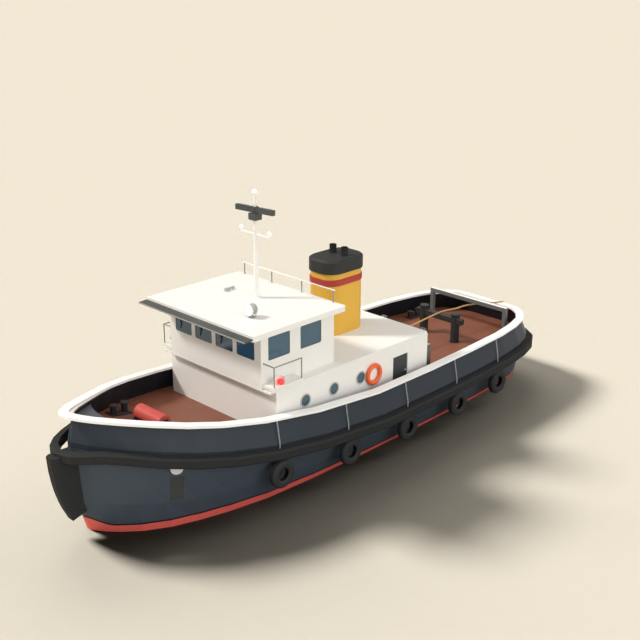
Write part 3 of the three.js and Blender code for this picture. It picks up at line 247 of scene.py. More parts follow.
# Grit of 1 mm in the deck paint, drawn at 20 mm
grit = add_node(tree, "ShaderNodeTexNoise", {"Scale": 50.0, "Detail": 2.0}, {"Vector": place})
grit_depth = add_node(tree, "ShaderNodeMath", {"operation": "MULTIPLY"}, {0: grit, 1: is_deck})
gritted = add_node(tree, "ShaderNodeBump", {"Strength": 0.5, "Distance": 0.003},
                   {"Height": grit_depth, "Normal": brushed})
set_up(shader, None, {"Normal": gritted})
coat(hull_enamel, "hull")

# Bulwarks
# Steel walls that lean in above the deck edge, blue-black inside and outside in the strake's darker
# blue-grey, which is painted shade. A breasthook plate ties them behind the stem; its top is painted a
# lighter grey than the topsides, which is painted light.
BULWARK_INSIDE, BREASTHOOK_LIT_TOP = "#1c1f25", "#53565f"
bulwark_enamel, tree, shader, place = new_material("bulwark_enamel")
geometry = add_node(tree, "ShaderNodeNewGeometry")
flat = add_node(tree, "ShaderNodeVectorMath", {"operation": "MULTIPLY", 1: (0.15, 1, 0)}, {0: place})
outward = add_node(tree, "ShaderNodeVectorMath", {"operation": "DOT_PRODUCT"},
                   {0: (geometry, "Normal"), 1: flat})
is_outside = add_node(tree, "ShaderNodeMath", {"operation": "GREATER_THAN", 1: 0.0},
                      {0: (outward, "Value")})
wall_paint = add_node(tree, "ShaderNodeMix", {"data_type": "RGBA", 6: BULWARK_INSIDE, 7: STRAKE_SHADE_TONE},
                      {0: is_outside})
facing = add_node(tree, "ShaderNodeSeparateXYZ", None, {"Vector": (geometry, "Normal")})
is_up = add_node(tree, "ShaderNodeMath", {"operation": "GREATER_THAN", 1: 0.8}, {0: (facing, "Z")})
# Faces that point up, the breasthook's top, get a lighter grey: painted light
bulwark_tone_and_light = add_node(tree, "ShaderNodeMix", {"data_type": "RGBA", 7: BREASTHOOK_LIT_TOP},
                         {0: is_up, 6: (wall_paint, 2)})
enamel_finish(tree, shader, place, (bulwark_tone_and_light, 2), **HULL_COAT)
coat(bulwark_enamel, "bulwark_")

# Cap rails
# Flat steel rails welded along the top of the bulwarks, in the satin white of the house. Their white is
# painted brighter than the walls', which is painted light on their sunlit tops.
def enamel(name, colour, roughness, chalk="#b9b6ae", haze=0.05):
    """A material of one enamel all over."""
    material, tree, shader, place = new_material(name)
    enamel_finish(tree, shader, place, colour, roughness, chalk, haze)
    return material


WHITE, RAIL_LIT_WHITE = "#f1f0ec", "#fcfcfa"
HOUSE_COAT = {"roughness": 0.42, "chalk": "#dedbd2", "haze": 0.16}
white_enamel = enamel("satin_white_enamel", WHITE, **HOUSE_COAT)
# A brighter white than the walls: painted light
rail_lit_white_enamel = enamel("cap_rail_lit_enamel", RAIL_LIT_WHITE, 0.42, chalk="#dedbd2", haze=0.05)
coat(rail_lit_white_enamel, "cap_rail_")

# Belt and stem fenders
# Extruded black rubber bolted round the hull at deck height, and a moulded block down the stem. Old
# rubber is dull and chalky on top, with fine lines along it from the die.
def weathered_rubber(name, colour, chalk, line_scale):
    """Weathered rubber: chalky where it faces up, with die lines; line_scale is per metre."""
    material, tree, shader, place = new_material(name)
    geometry = add_node(tree, "ShaderNodeNewGeometry")
    facing = add_node(tree, "ShaderNodeSeparateXYZ", None, {"Vector": (geometry, "Normal")})
    upward = add_node(tree, "ShaderNodeMapRange", {"From Min": 0.1, "From Max": 0.95, "To Max": 0.6},
                      {"Value": (facing, "Z")})
    blotch = add_node(tree, "ShaderNodeTexNoise", {"Scale": 5.0, "Detail": 4.0}, {"Vector": place})
    patchy = add_node(tree, "ShaderNodeMath", {"operation": "MULTIPLY"}, {0: upward, 1: blotch})
    tint = add_node(tree, "ShaderNodeMix", {"data_type": "RGBA", 6: colour, 7: chalk}, {0: patchy})
    dull = add_node(tree, "ShaderNodeMapRange", {"To Min": 0.62, "To Max": 0.82}, {"Value": blotch})
    stretch = add_node(tree, "ShaderNodeMapping", {"Scale": (2, 2, line_scale)}, {"Vector": place})
    lines = add_node(tree, "ShaderNodeTexNoise", {"Scale": 1.0, "Detail": 2.0}, {"Vector": stretch})
    pores = add_node(tree, "ShaderNodeTexNoise", {"Scale": 90.0, "Detail": 2.0}, {"Vector": place})
    both = add_node(tree, "ShaderNodeMath", {"operation": "ADD"}, {0: lines, 1: pores})
    skin = add_node(tree, "ShaderNodeBump", {"Strength": 0.35, "Distance": 0.0015}, {"Height": both})
    set_up(shader, {"Specular IOR Level": 0.12},
           {"Base Color": (tint, 2), "Roughness": dull, "Normal": skin})
    return material


belt_rubber = weathered_rubber("extruded_belt_rubber", "#2e2f2f", "#3e4041", 45.0)
coat(belt_rubber, "belt_fender_", "stem_fender")

# Tyre fenders and chains
# Old truck tyres hung outside the hull on galvanised chain. Each chain is welded under the cap rail,
# drops down the bulwark, passes a notch in the belt and is shackled round the tyre.
def mesh_piece(name, parts, material, body, bevel=0.0, crease=40):
    """One object from (points, faces) parts: merged, faces outward, edges sharper than crease kept."""
    points, faces = [], []
    for part_points, part_faces in parts:
        start = len(points)
        points += [tuple(point) for point in part_points]
        faces += [[start + i for i in face] for face in part_faces]
    mesh = bpy.data.meshes.new(name)
    mesh.from_pydata(points, [], faces)
    work = bmesh.new()
    work.from_mesh(mesh)
    bmesh.ops.remove_doubles(work, verts=work.verts, dist=1e-5)
    bmesh.ops.recalc_face_normals(work, faces=work.faces)
    work.to_mesh(mesh)
    work.free()
    mesh.materials.append(material)
    mesh.shade_smooth()
    mesh.set_sharp_from_angle(angle=math.radians(crease))
    piece = bpy.data.objects.new(name, mesh)
    bpy.context.scene.collection.objects.link(piece)
    if bevel:
        rounding = piece.modifiers.new("rounded_edges", "BEVEL")
        rounding.width = bevel
        rounding.segments = 2
        rounding.limit_method = "ANGLE"
    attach(piece, body)
    return piece


def turned(profile, centre, axis, count=48):
    """A shape turned round an axis through centre; profile gives (distance along it, radius)."""
    axis = Vector(axis).normalized()
    side = axis.orthogonal().normalized()
    up = axis.cross(side)
    points = []
    for along, radius in profile:
        for i in range(count):
            a = math.tau * i / count
            out = side * math.cos(a) + up * math.sin(a)
            points.append(Vector(centre) + axis * along + out * radius)
    faces = [[row * count + i, row * count + (i + 1) % count,
              (row + 1) * count + (i + 1) % count, (row + 1) * count + i]
             for row in range(len(profile) - 1) for i in range(count)]
    return points, faces


def grown(name, start, tree, sizes, body):
    """The plain mesh that a Geometry Nodes tree grows on a start mesh, with its named sizes."""
    seedling = bpy.data.objects.new(name + "_start", start)
    bpy.context.scene.collection.objects.link(seedling)
    grow = seedling.modifiers.new("grow", "NODES")
    grow.node_group = tree
    for socket in tree.interface.items_tree:
        if socket.name in sizes:
            grow[socket.identifier] = sizes[socket.name]
    graph = bpy.context.evaluated_depsgraph_get()
    mesh = bpy.data.meshes.new_from_object(seedling.evaluated_get(graph))
    bpy.data.objects.remove(seedling)
    mesh.name = name
    piece = bpy.data.objects.new(name, mesh)
    bpy.context.scene.collection.objects.link(piece)
    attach(piece, body)
    return piece


def new_tree(name, **sizes):
    """A Geometry Nodes tree with a geometry in and out and a named input for each size."""
    tree = bpy.data.node_groups.new(name, "GeometryNodeTree")
    tree.interface.new_socket("Geometry", in_out="INPUT", socket_type="NodeSocketGeometry")
    for size, value in sizes.items():
        socket = tree.interface.new_socket(size, in_out="INPUT", socket_type="NodeSocketFloat")
        socket.default_value = value
    tree.interface.new_socket("Geometry", in_out="OUTPUT", socket_type="NodeSocketGeometry")
    return tree, add_node(tree, "NodeGroupInput"), add_node(tree, "NodeGroupOutput")


# Hot-dip galvanised steel: pale grey zinc with a soft spangle about 15 mm across
galvanised_steel, tree, shader, place = new_material("galvanised_steel")
spangle = add_node(tree, "ShaderNodeTexVoronoi", {"Scale": 65.0}, {"Vector": place})
zinc = add_node(tree, "ShaderNodeMix", {"data_type": "RGBA", 6: "#aeb2b6", 7: "#c6cacd"}, {0: spangle})
zinc_gloss = add_node(tree, "ShaderNodeMapRange", {"To Min": 0.4, "To Max": 0.6}, {"Value": spangle})
set_up(shader, {"Metallic": 0.3}, {"Base Color": (zinc, 2), "Roughness": zinc_gloss})

# Links 80 mm long of 18 mm wire stand every 56 mm, each turned a quarter from the last
CHAIN_SIZES = {"Spacing": 0.056, "Length": 0.08, "Wire": 0.009}
link_tree, given, grown_out = new_tree("chain_of_links", **CHAIN_SIZES)
route = add_node(link_tree, "GeometryNodeMeshToCurve", None, {"Mesh": given})
stations = add_node(link_tree, "GeometryNodeResampleCurve", {"mode": "LENGTH"},
                    {"Curve": route, "Length": (given, "Spacing")})
half_link = add_node(link_tree, "ShaderNodeMath", {"operation": "MULTIPLY", 1: 0.44},
                     {0: (given, "Length")})
link_loop = add_node(link_tree, "GeometryNodeCurvePrimitiveCircle", {"Resolution": 10},
                     {"Radius": half_link})
link_shape = add_node(link_tree, "GeometryNodeTransform", {"Scale": (1.0, 0.6, 1.0)},
                      {"Geometry": link_loop})
wire = add_node(link_tree, "GeometryNodeCurvePrimitiveCircle", {"Resolution": 6},
                {"Radius": (given, "Wire")})
link_body = add_node(link_tree, "GeometryNodeCurveToMesh", None,
                     {"Curve": link_shape, "Profile Curve": wire})
tangent = add_node(link_tree, "GeometryNodeInputTangent")
along = add_node(link_tree, "FunctionNodeAlignRotationToVector", {"axis": "X"}, {"Vector": tangent})
order = add_node(link_tree, "GeometryNodeInputIndex")
quarter = add_node(link_tree, "ShaderNodeMath", {"operation": "MULTIPLY", 1: math.pi / 2}, {0: order})
roll_angle = add_node(link_tree, "ShaderNodeCombineXYZ", None, {"X": quarter})
roll_turn = add_node(link_tree, "FunctionNodeEulerToRotation", None, {"Euler": roll_angle})
facing_link = add_node(link_tree, "FunctionNodeRotateRotation", {"rotation_space": "LOCAL"},
                       {"Rotation": along, "Rotate By": roll_turn})
links = add_node(link_tree, "GeometryNodeInstanceOnPoints", None,
                 {"Points": stations, "Instance": link_body, "Rotation": facing_link})
solid_links = add_node(link_tree, "GeometryNodeRealizeInstances", None, {"Geometry": links})
coated_links = add_node(link_tree, "GeometryNodeSetMaterial", {"Material": galvanised_steel},
                        {"Geometry": solid_links})
set_up(grown_out, None, {"Geometry": coated_links})

# Moulded tyre rubber: two wide ribs and three grooves in the tread, a rim line on the wall
tyre_rubber = weathered_rubber("moulded_tyre_rubber", "#353637", "#484a4b", 60.0)
TYRE_SECTION = [
    (0.000, 0.520), (0.010, 0.506), (0.016, 0.506), (0.022, 0.519), (0.060, 0.516), (0.066, 0.502),
    (0.072, 0.502), (0.078, 0.511), (0.104, 0.494), (0.124, 0.466), (0.137, 0.432), (0.139, 0.424),
    (0.142, 0.422), (0.146, 0.395), (0.146, 0.352), (0.140, 0.318), (0.143, 0.312), (0.137, 0.304),
    (0.126, 0.276), (0.112, 0.256), (0.104, 0.238), (0.088, 0.232), (0.078, 0.244), (0.094, 0.280),
    (0.112, 0.330), (0.116, 0.380), (0.106, 0.430), (0.080, 0.468), (0.040, 0.484), (0.000, 0.488)]
ring_section = (TYRE_SECTION + [(-along, radius) for along, radius in TYRE_SECTION[-2:0:-1]]
                + TYRE_SECTION[:1])
# Each chain's place along X, then its place across and its height under the rail and at the notch; it
# falls straight through the notch and ends at a shackle above the tyre's centre
TYRE_RADIUS, TYRE_HALF, SHACKLE_UP, NOTCH_FALL = 0.520, 0.145, 0.340, 0.540
CHAINS = [(5.02, 3.277, 3.190, 3.412, 2.407), (1.88, 3.537, 2.895, 3.679, 2.113),
          (-1.37, 3.565, 2.762, 3.717, 1.980), (-4.52, 3.458, 2.740, 3.612, 1.960),
          (-7.54, 3.283, 2.740, 3.436, 1.960)]
SIDES = (("port", 1), ("starboard", -1))
for number, (chain_x, rail_y, rail_z, notch_y, notch_z) in enumerate(CHAINS, 1):
    low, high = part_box("tyre_fender_%d_port" % number)
    tyre_x, tyre_y, tyre_z = (low[0] + high[0]) / 2, high[1] - TYRE_HALF, low[2] + TYRE_RADIUS
    for side, hand in SIDES:
        tyre = mesh_piece("tyre_%d_%s" % (number, side),
                          [turned(ring_section, (tyre_x, hand * tyre_y, tyre_z), (0, 1, 0), 56)],
                          tyre_rubber, "hull")
        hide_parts("tyre_fender_%d_%s" % (number, side))
        chain_route = [(chain_x, hand * rail_y, rail_z), (chain_x, hand * notch_y, notch_z),
                       (chain_x, hand * notch_y, notch_z - NOTCH_FALL),
                       (tyre_x, hand * tyre_y, tyre_z + SHACKLE_UP)]
        start = bpy.data.meshes.new("chain_route")
        start.from_pydata(chain_route, [(0, 1), (1, 2), (2, 3)], [])
        grown("chain_%d_%s" % (number, side), start, link_tree, CHAIN_SIZES, "hull")

# Hawse rims and dark hull plates
# A cast rim lines each hawse hole under the belt, and a dark plate lies just proud of the hull below it,
# in dark grey enamel.
cast_rim = enamel("cast_rim_enamel", "#d2d5d6", 0.45)
coat(cast_rim, "hawse_")


def plate_on_hull(x_range, z_range, hand, proud, columns=8, rows=10):
    """A closed plate that lies on the hull's side, proud of it, over a range of x and z."""
    hull = nodes["hull"].data
    skin = BVHTree.FromPolygons([v.co.copy() for v in hull.vertices],
                                [list(p.vertices) for p in hull.polygons])
    outer, inner = [], []
    for i in range(columns + 1):
        for j in range(rows + 1):
            x = x_range[0] + (x_range[1] - x_range[0]) * i / columns
            z = z_range[0] + (z_range[1] - z_range[0]) * j / rows
            hit, normal, _, _ = skin.ray_cast(Vector((x, hand * 8, z)), Vector((0, -hand, 0)))
            outer.append(hit + normal * proud)
            inner.append(hit - normal * proud)
    count = (columns + 1) * (rows + 1)
    step = rows + 1
    faces = []
    for i in range(columns):
        for j in range(rows):
            a = i * step + j
            faces += [[a, a + step, a + step + 1, a + 1],
                      [count + a, count + a + 1, count + a + step + 1, count + a + step]]
    rim = ([i * step for i in range(columns)] + [columns * step + j for j in range(rows)]
           + [i * step + rows for i in range(columns, 0, -1)] + list(range(rows, 0, -1)))
    for a, b in zip(rim, rim[1:] + rim[:1]):
        faces.append([a, b, count + b, count + a])
    return outer + inner, faces


PLATE_X, PLATE_Z, PLATE_PROUD = (8.24, 8.66), (1.08, 1.95), 0.012
dark_plate_enamel = enamel("dark_plate_enamel", "#3c3e3d", 0.6, haze=0.05)
for side, hand in SIDES:
    mesh_piece("dark_hull_plate_" + side, [plate_on_hull(PLATE_X, PLATE_Z, hand, PLATE_PROUD)],
               dark_plate_enamel, "hull")

# Deckhouse
# A welded steel house in satin white. The stores locker on its aft wall has a pale top, painted light,
# and brown-grey sides darkened with painted shade; the floodlights under the aft edge of the top deck
# are cast housings.
def masked_enamel(name, axis, operation, edge, paints, roughness, chalk="#b9b6ae", haze=0.05, reach=0.0):
    """Two enamels masked off along an axis: the second goes where the operation holds at the edge."""
    material, tree, shader, place = new_material(name)
    spot = add_node(tree, "ShaderNodeSeparateXYZ", None, {"Vector": place})
    masked = add_node(tree, "ShaderNodeMath", {"operation": operation, 1: edge, 2: reach},
                      {0: (spot, axis)})
    paint = add_node(tree, "ShaderNodeMix", {"data_type": "RGBA", 6: paints[0], 7: paints[1]},
                     {0: masked})
    enamel_finish(tree, shader, place, (paint, 2), roughness, chalk, haze)
    return material


LOCKER_SHADED_SIDE, LOCKER_LIT_TOP, HOUSING = "#4e453b", "#c9c4b8", "#55585a"
LOCKER_FRONT, HOUSING_FRONT = -3.446, -3.4405
coat(white_enamel, "deckhouse_side_", "deckhouse_front")
deckhouse_aft_enamel, tree, shader, place = new_material("deckhouse_aft_enamel")
spot = add_node(tree, "ShaderNodeSeparateXYZ", None, {"Vector": place})
geometry = add_node(tree, "ShaderNodeNewGeometry")
facing = add_node(tree, "ShaderNodeSeparateXYZ", None, {"Vector": (geometry, "Normal")})
# The locker's up-facing top is painted pale and its sides brown-grey: painted light and painted shade
is_lit_top = add_node(tree, "ShaderNodeMath", {"operation": "GREATER_THAN", 1: FACING_UP}, {0: (facing, "Z")})
locker_light_and_shade = add_node(tree, "ShaderNodeMix", {"data_type": "RGBA", 6: LOCKER_SHADED_SIDE, 7: LOCKER_LIT_TOP},
                        {0: is_lit_top})
is_locker = add_node(tree, "ShaderNodeMath", {"operation": "LESS_THAN", 1: LOCKER_FRONT},
                     {0: (spot, "X")})
aft_paint = add_node(tree, "ShaderNodeMix", {"data_type": "RGBA", 6: WHITE},
                     {0: is_locker, 7: (locker_light_and_shade, 2)})
enamel_finish(tree, shader, place, (aft_paint, 2), **HOUSE_COAT)
coat(deckhouse_aft_enamel, "deckhouse_aft")

top_deck_enamel = masked_enamel("top_deck_enamel", "X", "LESS_THAN", HOUSING_FRONT, (WHITE, HOUSING),
                                **HOUSE_COAT)
coat(top_deck_enamel, "deckhouse_top")

# Portholes
# Three on each side of the deckhouse: a cast ring held by eight hexagon bolts, and a domed pane of
# toughened glass bedded in a rubber seal.
def block(low, high):
    """The points and faces of a box from its low corner to its high one."""
    (x0, y0, z0), (x1, y1, z1) = low, high
    points = [(x, y, z) for z in (z0, z1) for x, y in ((x0, y0), (x1, y0), (x1, y1), (x0, y1))]
    return points, [[0, 3, 2, 1], [4, 5, 6, 7], [0, 1, 5, 4], [1, 2, 6, 5], [2, 3, 7, 6], [3, 0, 4, 7]]


# Bolt heads stand on the start mesh's points, with their axis along Y
BOLT_SIZES = {"Across": 0.026, "Height": 0.016}
bolt_tree, given, grown_out = new_tree("bolts_on_points", **BOLT_SIZES)
head_radius = add_node(bolt_tree, "ShaderNodeMath", {"operation": "MULTIPLY", 1: 0.577},
                       {0: (given, "Across")})
head = add_node(bolt_tree, "GeometryNodeMeshCylinder", {"Vertices": 6},
                {"Radius": head_radius, "Depth": (given, "Height")})
laid_head = add_node(bolt_tree, "GeometryNodeTransform", {"Rotation": (math.pi / 2, 0, 0)},
                     {"Geometry": head})
placed_heads = add_node(bolt_tree, "GeometryNodeInstanceOnPoints", None,
                        {"Points": given, "Instance": laid_head})
solid_heads = add_node(bolt_tree, "GeometryNodeRealizeInstances", None, {"Geometry": placed_heads})
coated_heads = add_node(bolt_tree, "GeometryNodeSetMaterial", {"Material": galvanised_steel},
                        {"Geometry": solid_heads})
set_up(grown_out, None, {"Geometry": coated_heads})

# Cast and brushed zinc-grey enamel for the rings
ring_enamel = enamel("porthole_ring_enamel", "#c3c6c4", 0.4)
black_seal = weathered_rubber("porthole_seal_rubber", "#4a5054", "#5b6165", 60.0)


def glass_with_painted_reflection(name, tint, streak):
    """Toughened float glass, a near-mirror skin with faint salt bloom; its colour is painted reflection
    and cabin shade.
    """
    material, tree, shader, place = new_material(name)
    bloom_at = add_node(tree, "ShaderNodeMapping", {"Scale": (1.5, 1.5, 1.0)}, {"Vector": place})
    bloom = add_node(tree, "ShaderNodeTexNoise", {"Scale": 1.2, "Detail": 3.0}, {"Vector": bloom_at})
    mixed = add_node(tree, "ShaderNodeMix", {"data_type": "RGBA", 6: tint, 7: streak}, {0: bloom})
    film = add_node(tree, "ShaderNodeMapRange", {"To Min": 0.04, "To Max": 0.12}, {"Value": bloom})
    set_up(shader, {"IOR": 1.52}, {"Base Color": (mixed, 2), "Roughness": film})
    return material


porthole_glass = glass_with_painted_reflection("porthole_glass", "#415967", "#4b6573")
DECKHOUSE_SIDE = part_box("deckhouse_side_port")[1][1]
PORTHOLE_X, PORTHOLE_Z = (3.29, 1.85, 0.42), 3.30
RING_SECTION = [(0.000, 0.262), (0.016, 0.262), (0.022, 0.257), (0.024, 0.222), (0.020, 0.208),
                (0.000, 0.208)]
SEAL_SECTION = [(0.000, 0.212), (0.015, 0.210), (0.017, 0.204), (0.013, 0.196), (0.000, 0.194)]
PANE_SECTION = [(0.000, 0.200), (0.008, 0.200), (0.012, 0.150), (0.014, 0.080), (0.015, 0.000)]
BOLT_CIRCLE, BOLT_COUNT, BOLT_STAND = 0.242, 8, 0.026
for side, hand in SIDES:
    bolt_points = []
    for number, x in enumerate(PORTHOLE_X, 1):
        centre, out = (x, hand * DECKHOUSE_SIDE, PORTHOLE_Z), (0, hand, 0)
        for layer, section, material, slot in (("ring", RING_SECTION, ring_enamel, "grey_paint"),
                                               ("seal", SEAL_SECTION, black_seal, "belt_rubber"),
                                               ("pane", PANE_SECTION, porthole_glass, "pane")):
            mesh_piece("porthole_%s_%d_%s" % (layer, number, side), [turned(section, centre, out)],
                       material, "hull")
        for i in range(BOLT_COUNT):
            a = math.tau * (i + 0.5) / BOLT_COUNT
            bolt_points.append((x + BOLT_CIRCLE * math.cos(a), hand * (DECKHOUSE_SIDE + BOLT_STAND),
                                PORTHOLE_Z + BOLT_CIRCLE * math.sin(a)))
    start = bpy.data.meshes.new("bolt_points")
    start.from_pydata(bolt_points, [], [])
    grown("porthole_bolts_" + side, start, bolt_tree, BOLT_SIZES, "hull")

# Deckhouse doors
# Plain steel weathertight doors in dark grey, one in each side, on two hinges inside. A lever turns in
# a round rose bolted to the plate.
def tube(points, radius, count=10):
    """A round bar along points, closed at both ends."""
    points = [Vector(point) for point in points]
    rings, side = [], None
    for i, point in enumerate(points):
        before = (point - points[i - 1]).normalized() if i else (points[1] - point).normalized()
        after = (points[i + 1] - point).normalized() if i + 1 < len(points) else before
        ahead = (before + after).normalized()
        if side is None:
            side = ahead.orthogonal().normalized()
        else:
            side = (side - ahead * side.dot(ahead)).normalized()
        up = ahead.cross(side)
        wide = radius / max(0.5, ahead.dot(after))
        turns = [math.tau * k / count for k in range(count)]
        rings.append([point + (side * math.cos(a) + up * math.sin(a)) * wide for a in turns])
    faces = [[row * count + k, row * count + (k + 1) % count, (row + 1) * count + (k + 1) % count,
              (row + 1) * count + k] for row in range(len(rings) - 1) for k in range(count)]
    last = (len(rings) - 1) * count
    faces += [list(range(count))[::-1], [last + k for k in range(count)]]
    return [point for ring in rings for point in ring], faces


door_enamel = enamel("door_grey_enamel", "#3e4144", 0.42, chalk="#6d7074", haze=0.05)
coat(door_enamel, "deckhouse_door_")
DOOR_FACE, LEVER_X, LEVER_Z = 2.86, -2.18, 2.86
for side, hand in SIDES:
    rose = turned([(0.0, 0.034), (0.006, 0.034), (0.008, 0.028), (0.008, 0.0)],
                  (LEVER_X, hand * DOOR_FACE, LEVER_Z), (0, hand, 0), 20)
    lever = tube([(LEVER_X, hand * (DOOR_FACE + 0.004), LEVER_Z),
                  (LEVER_X, hand * (DOOR_FACE + 0.018), LEVER_Z),
                  (LEVER_X + 0.02, hand * (DOOR_FACE + 0.021), LEVER_Z + 0.002),
                  (LEVER_X + 0.12, hand * (DOOR_FACE + 0.021), LEVER_Z - 0.005)], 0.008)
    mesh_piece("door_lever_" + side, [rose, lever], galvanised_steel, "door_" + side)

# Wheelhouse
# A white steel cabin on the top deck, glazed twice with toughened glass: inner panes bonded behind the
# plating, and outer ones almost flush in thin seals. Three of the four in front have wipers.
coat(white_enamel, "wheelhouse_side_", "wheelhouse_front", "wheelhouse_aft", "wheelhouse_door")
# Each wall's glass takes its own colour of painted reflection
front_glass = glass_with_painted_reflection("wheelhouse_front_glass", "#34526a", "#436276")
blue_reflection_glass = glass_with_painted_reflection("wheelhouse_blue_reflection_glass", "#33597a", "#3c6486")
side_glass = glass_with_painted_reflection("wheelhouse_side_glass", "#3b5a6d", "#456478")
coat(front_glass, "glass_front")
coat(side_glass, "glass_side_", "glass_aft")

WINDOW_Z = (5.07, 5.92)
FRONT_WINDOWS = ((-2.151, -1.228), (-1.025, -0.102), (0.102, 1.025), (1.228, 2.151))
SIDE_WINDOWS = ((2.09, 3.12), (3.63, 4.65))
AFT_WINDOWS = ((-2.05, -0.95), (0.95, 2.05))
# Where the seals and the outer panes begin and end through each wall
FRONT_SEAL, FRONT_PANE = (4.955, 4.980), (4.962, 4.972)
AFT_SEAL, AFT_PANE = (1.453, 1.478), (1.461, 1.471)
SIDE_SEAL, SIDE_PANE = (2.454, 2.479), (2.461, 2.471)
SEAL_WIDTH = 0.014
seal_rubber = weathered_rubber("window_seal_rubber", "#4a5054", "#5b6165", 60.0)


def wall_block(spread, height, depth, axis):
    """A flat block in a wall's opening; axis is the way that the wall faces, 0 or 1."""
    (a0, a1), (z0, z1), (d0, d1) = spread, height, depth
    return block((d0, a0, z0), (d1, a1, z1)) if axis == 0 else block((a0, d0, z0), (a1, d1, z1))


def seal_blocks(spread, height, depth, axis):
    """The four strips of a seal round an opening."""
    (a0, a1), (z0, z1) = spread, height
    upright = (z0 + SEAL_WIDTH, z1 - SEAL_WIDTH)
    strips = ((spread, (z0, z0 + SEAL_WIDTH)), (spread, (z1 - SEAL_WIDTH, z1)),
              ((a0, a0 + SEAL_WIDTH), upright), ((a1 - SEAL_WIDTH, a1), upright))
    return [wall_block(across, tall, depth, axis) for across, tall in strips]


def outer_panes(name, windows, depth, axis, glass):
    """The outer panes of one wall, which share a glass."""
    mesh_piece(name, [wall_block(spread, WINDOW_Z, depth, axis) for spread in windows], glass, "hull")


seals = []
for windows, depth in ((FRONT_WINDOWS, FRONT_SEAL), (AFT_WINDOWS, AFT_SEAL)):
    for spread in windows:
        seals += seal_blocks(spread, WINDOW_Z, depth, 0)
for spread in SIDE_WINDOWS:
    for side, hand in SIDES:
        seals += seal_blocks(spread, WINDOW_Z, sorted(hand * deep for deep in SIDE_SEAL), 1)
mesh_piece("window_seals", seals, seal_rubber, "hull")
# The window nearest the port side is painted bluer than its neighbours, a painted reflection
outer_panes("outer_panes_front", FRONT_WINDOWS[:3], FRONT_PANE, 0, front_glass)
outer_panes("outer_pane_blue_reflection", FRONT_WINDOWS[3:], FRONT_PANE, 0, blue_reflection_glass)
outer_panes("outer_panes_aft", AFT_WINDOWS, AFT_PANE, 0, side_glass)
for side, hand in SIDES:
    outer_panes("outer_panes_" + side, SIDE_WINDOWS, sorted(hand * deep for deep in SIDE_PANE), 1,
                side_glass)

# Wipers: a pressed steel arm from a spindle above the pane and a rubber blade, both black
black_steel = enamel("black_coated_steel", "#1f2122", 0.45)
WIPER_X, WIPER_SWEEP = 4.994, Vector((0, -0.19, -0.60))
for number, (y0, y1) in enumerate(FRONT_WINDOWS[:3], 1):
    pivot = Vector((WIPER_X, (y0 + y1) / 2 - 0.04, WINDOW_Z[1] - 0.05))
    elbow = pivot + WIPER_SWEEP * 0.72
    arm_end = elbow + Vector((0, 0.07, 0.02))
    inset, half_blade = Vector((-0.006, 0, 0)), WIPER_SWEEP * 0.40
    arm = tube([pivot, elbow], 0.013, 8)
    blade = tube([arm_end - half_blade + inset, arm_end + half_blade + inset], 0.014, 6)
    yoke = tube([elbow, arm_end], 0.010, 6)
    boss = turned([(-0.024, 0.022), (0.012, 0.022), (0.016, 0.016), (0.016, 0.0)], pivot, (1, 0, 0), 16)
    mesh_piece("wiper_%d" % number, [arm, blade, yoke, boss], black_steel, "hull")

# Inside: a laminate steering desk under the front windows, a spoked teak wheel and a stool
desk_laminate, tree, shader, place = new_material("desk_laminate")
laminate_fleck = add_node(tree, "ShaderNodeTexNoise", {"Scale": 60.0, "Detail": 3.0}, {"Vector": place})
laminate_tone = add_node(tree, "ShaderNodeMix", {"data_type": "RGBA", 6: "#3c474c", 7: "#4b565a"},
                         {0: laminate_fleck})
set_up(shader, {"Roughness": 0.5}, {"Base Color": (laminate_tone, 2)})
varnished_teak, tree, shader, place = new_material("varnished_teak")
teak_at = add_node(tree, "ShaderNodeMapping", {"Scale": (40, 6, 40)}, {"Vector": place})
teak_grain = add_node(tree, "ShaderNodeTexNoise", {"Scale": 1.0, "Detail": 5.0, "Distortion": 0.6},
                      {"Vector": teak_at})
teak_tone = add_node(tree, "ShaderNodeMix", {"data_type": "RGBA", 6: "#5d3a1f", 7: "#8d5f33"},
                     {0: teak_grain})
set_up(shader, {"Roughness": 0.28}, {"Base Color": (teak_tone, 2)})
CABIN_SOLE, SEAT_Z, STOOL_X = 4.103, 4.78, 3.55
desk_side = [(4.84, CABIN_SOLE), (4.52, CABIN_SOLE), (4.44, 4.95), (4.62, 5.03), (4.84, 5.05)]
desk_points = [(x, y, z) for y in (-1.9, 1.9) for x, z in desk_side]
desk_faces = ([[0, 1, 2, 3, 4], [9, 8, 7, 6, 5]]
              + [[i, i + 5, (i + 1) % 5 + 5, (i + 1) % 5] for i in range(5)])
mesh_piece("steering_desk", [(desk_points, desk_faces)], desk_laminate, "hull", bevel=0.012)
WHEEL_AT = Vector((4.36, 0.0, 5.02))
wheel_axis = Vector((-1, 0, 0.25)).normalized()
WHEEL_RADIUS, WHEEL_RIM, SPOKES = 0.28, 0.018, 8
rim_turns = [math.tau * k / 10 for k in range(11)]
rim_section = [(WHEEL_RIM * math.cos(a), WHEEL_RADIUS + WHEEL_RIM * math.sin(a)) for a in rim_turns]
wheel_rim = turned(rim_section, WHEEL_AT, wheel_axis, 40)
wheel_hub = turned([(-0.10, 0.0), (-0.10, 0.03), (0.02, 0.045), (0.03, 0.03), (0.03, 0.0)], WHEEL_AT,
                   wheel_axis, 20)
wheel_side = wheel_axis.orthogonal().normalized()
wheel_up = wheel_axis.cross(wheel_side)
spokes = []
for k in range(SPOKES):
    a = math.tau * k / SPOKES
    out = wheel_side * math.cos(a) + wheel_up * math.sin(a)
    spokes.append(tube([WHEEL_AT + out * 0.03, WHEEL_AT + out * 0.15, WHEEL_AT + out * 0.345], 0.012, 8))
mesh_piece("steering_wheel", [wheel_rim, wheel_hub] + spokes, varnished_teak, "hull")
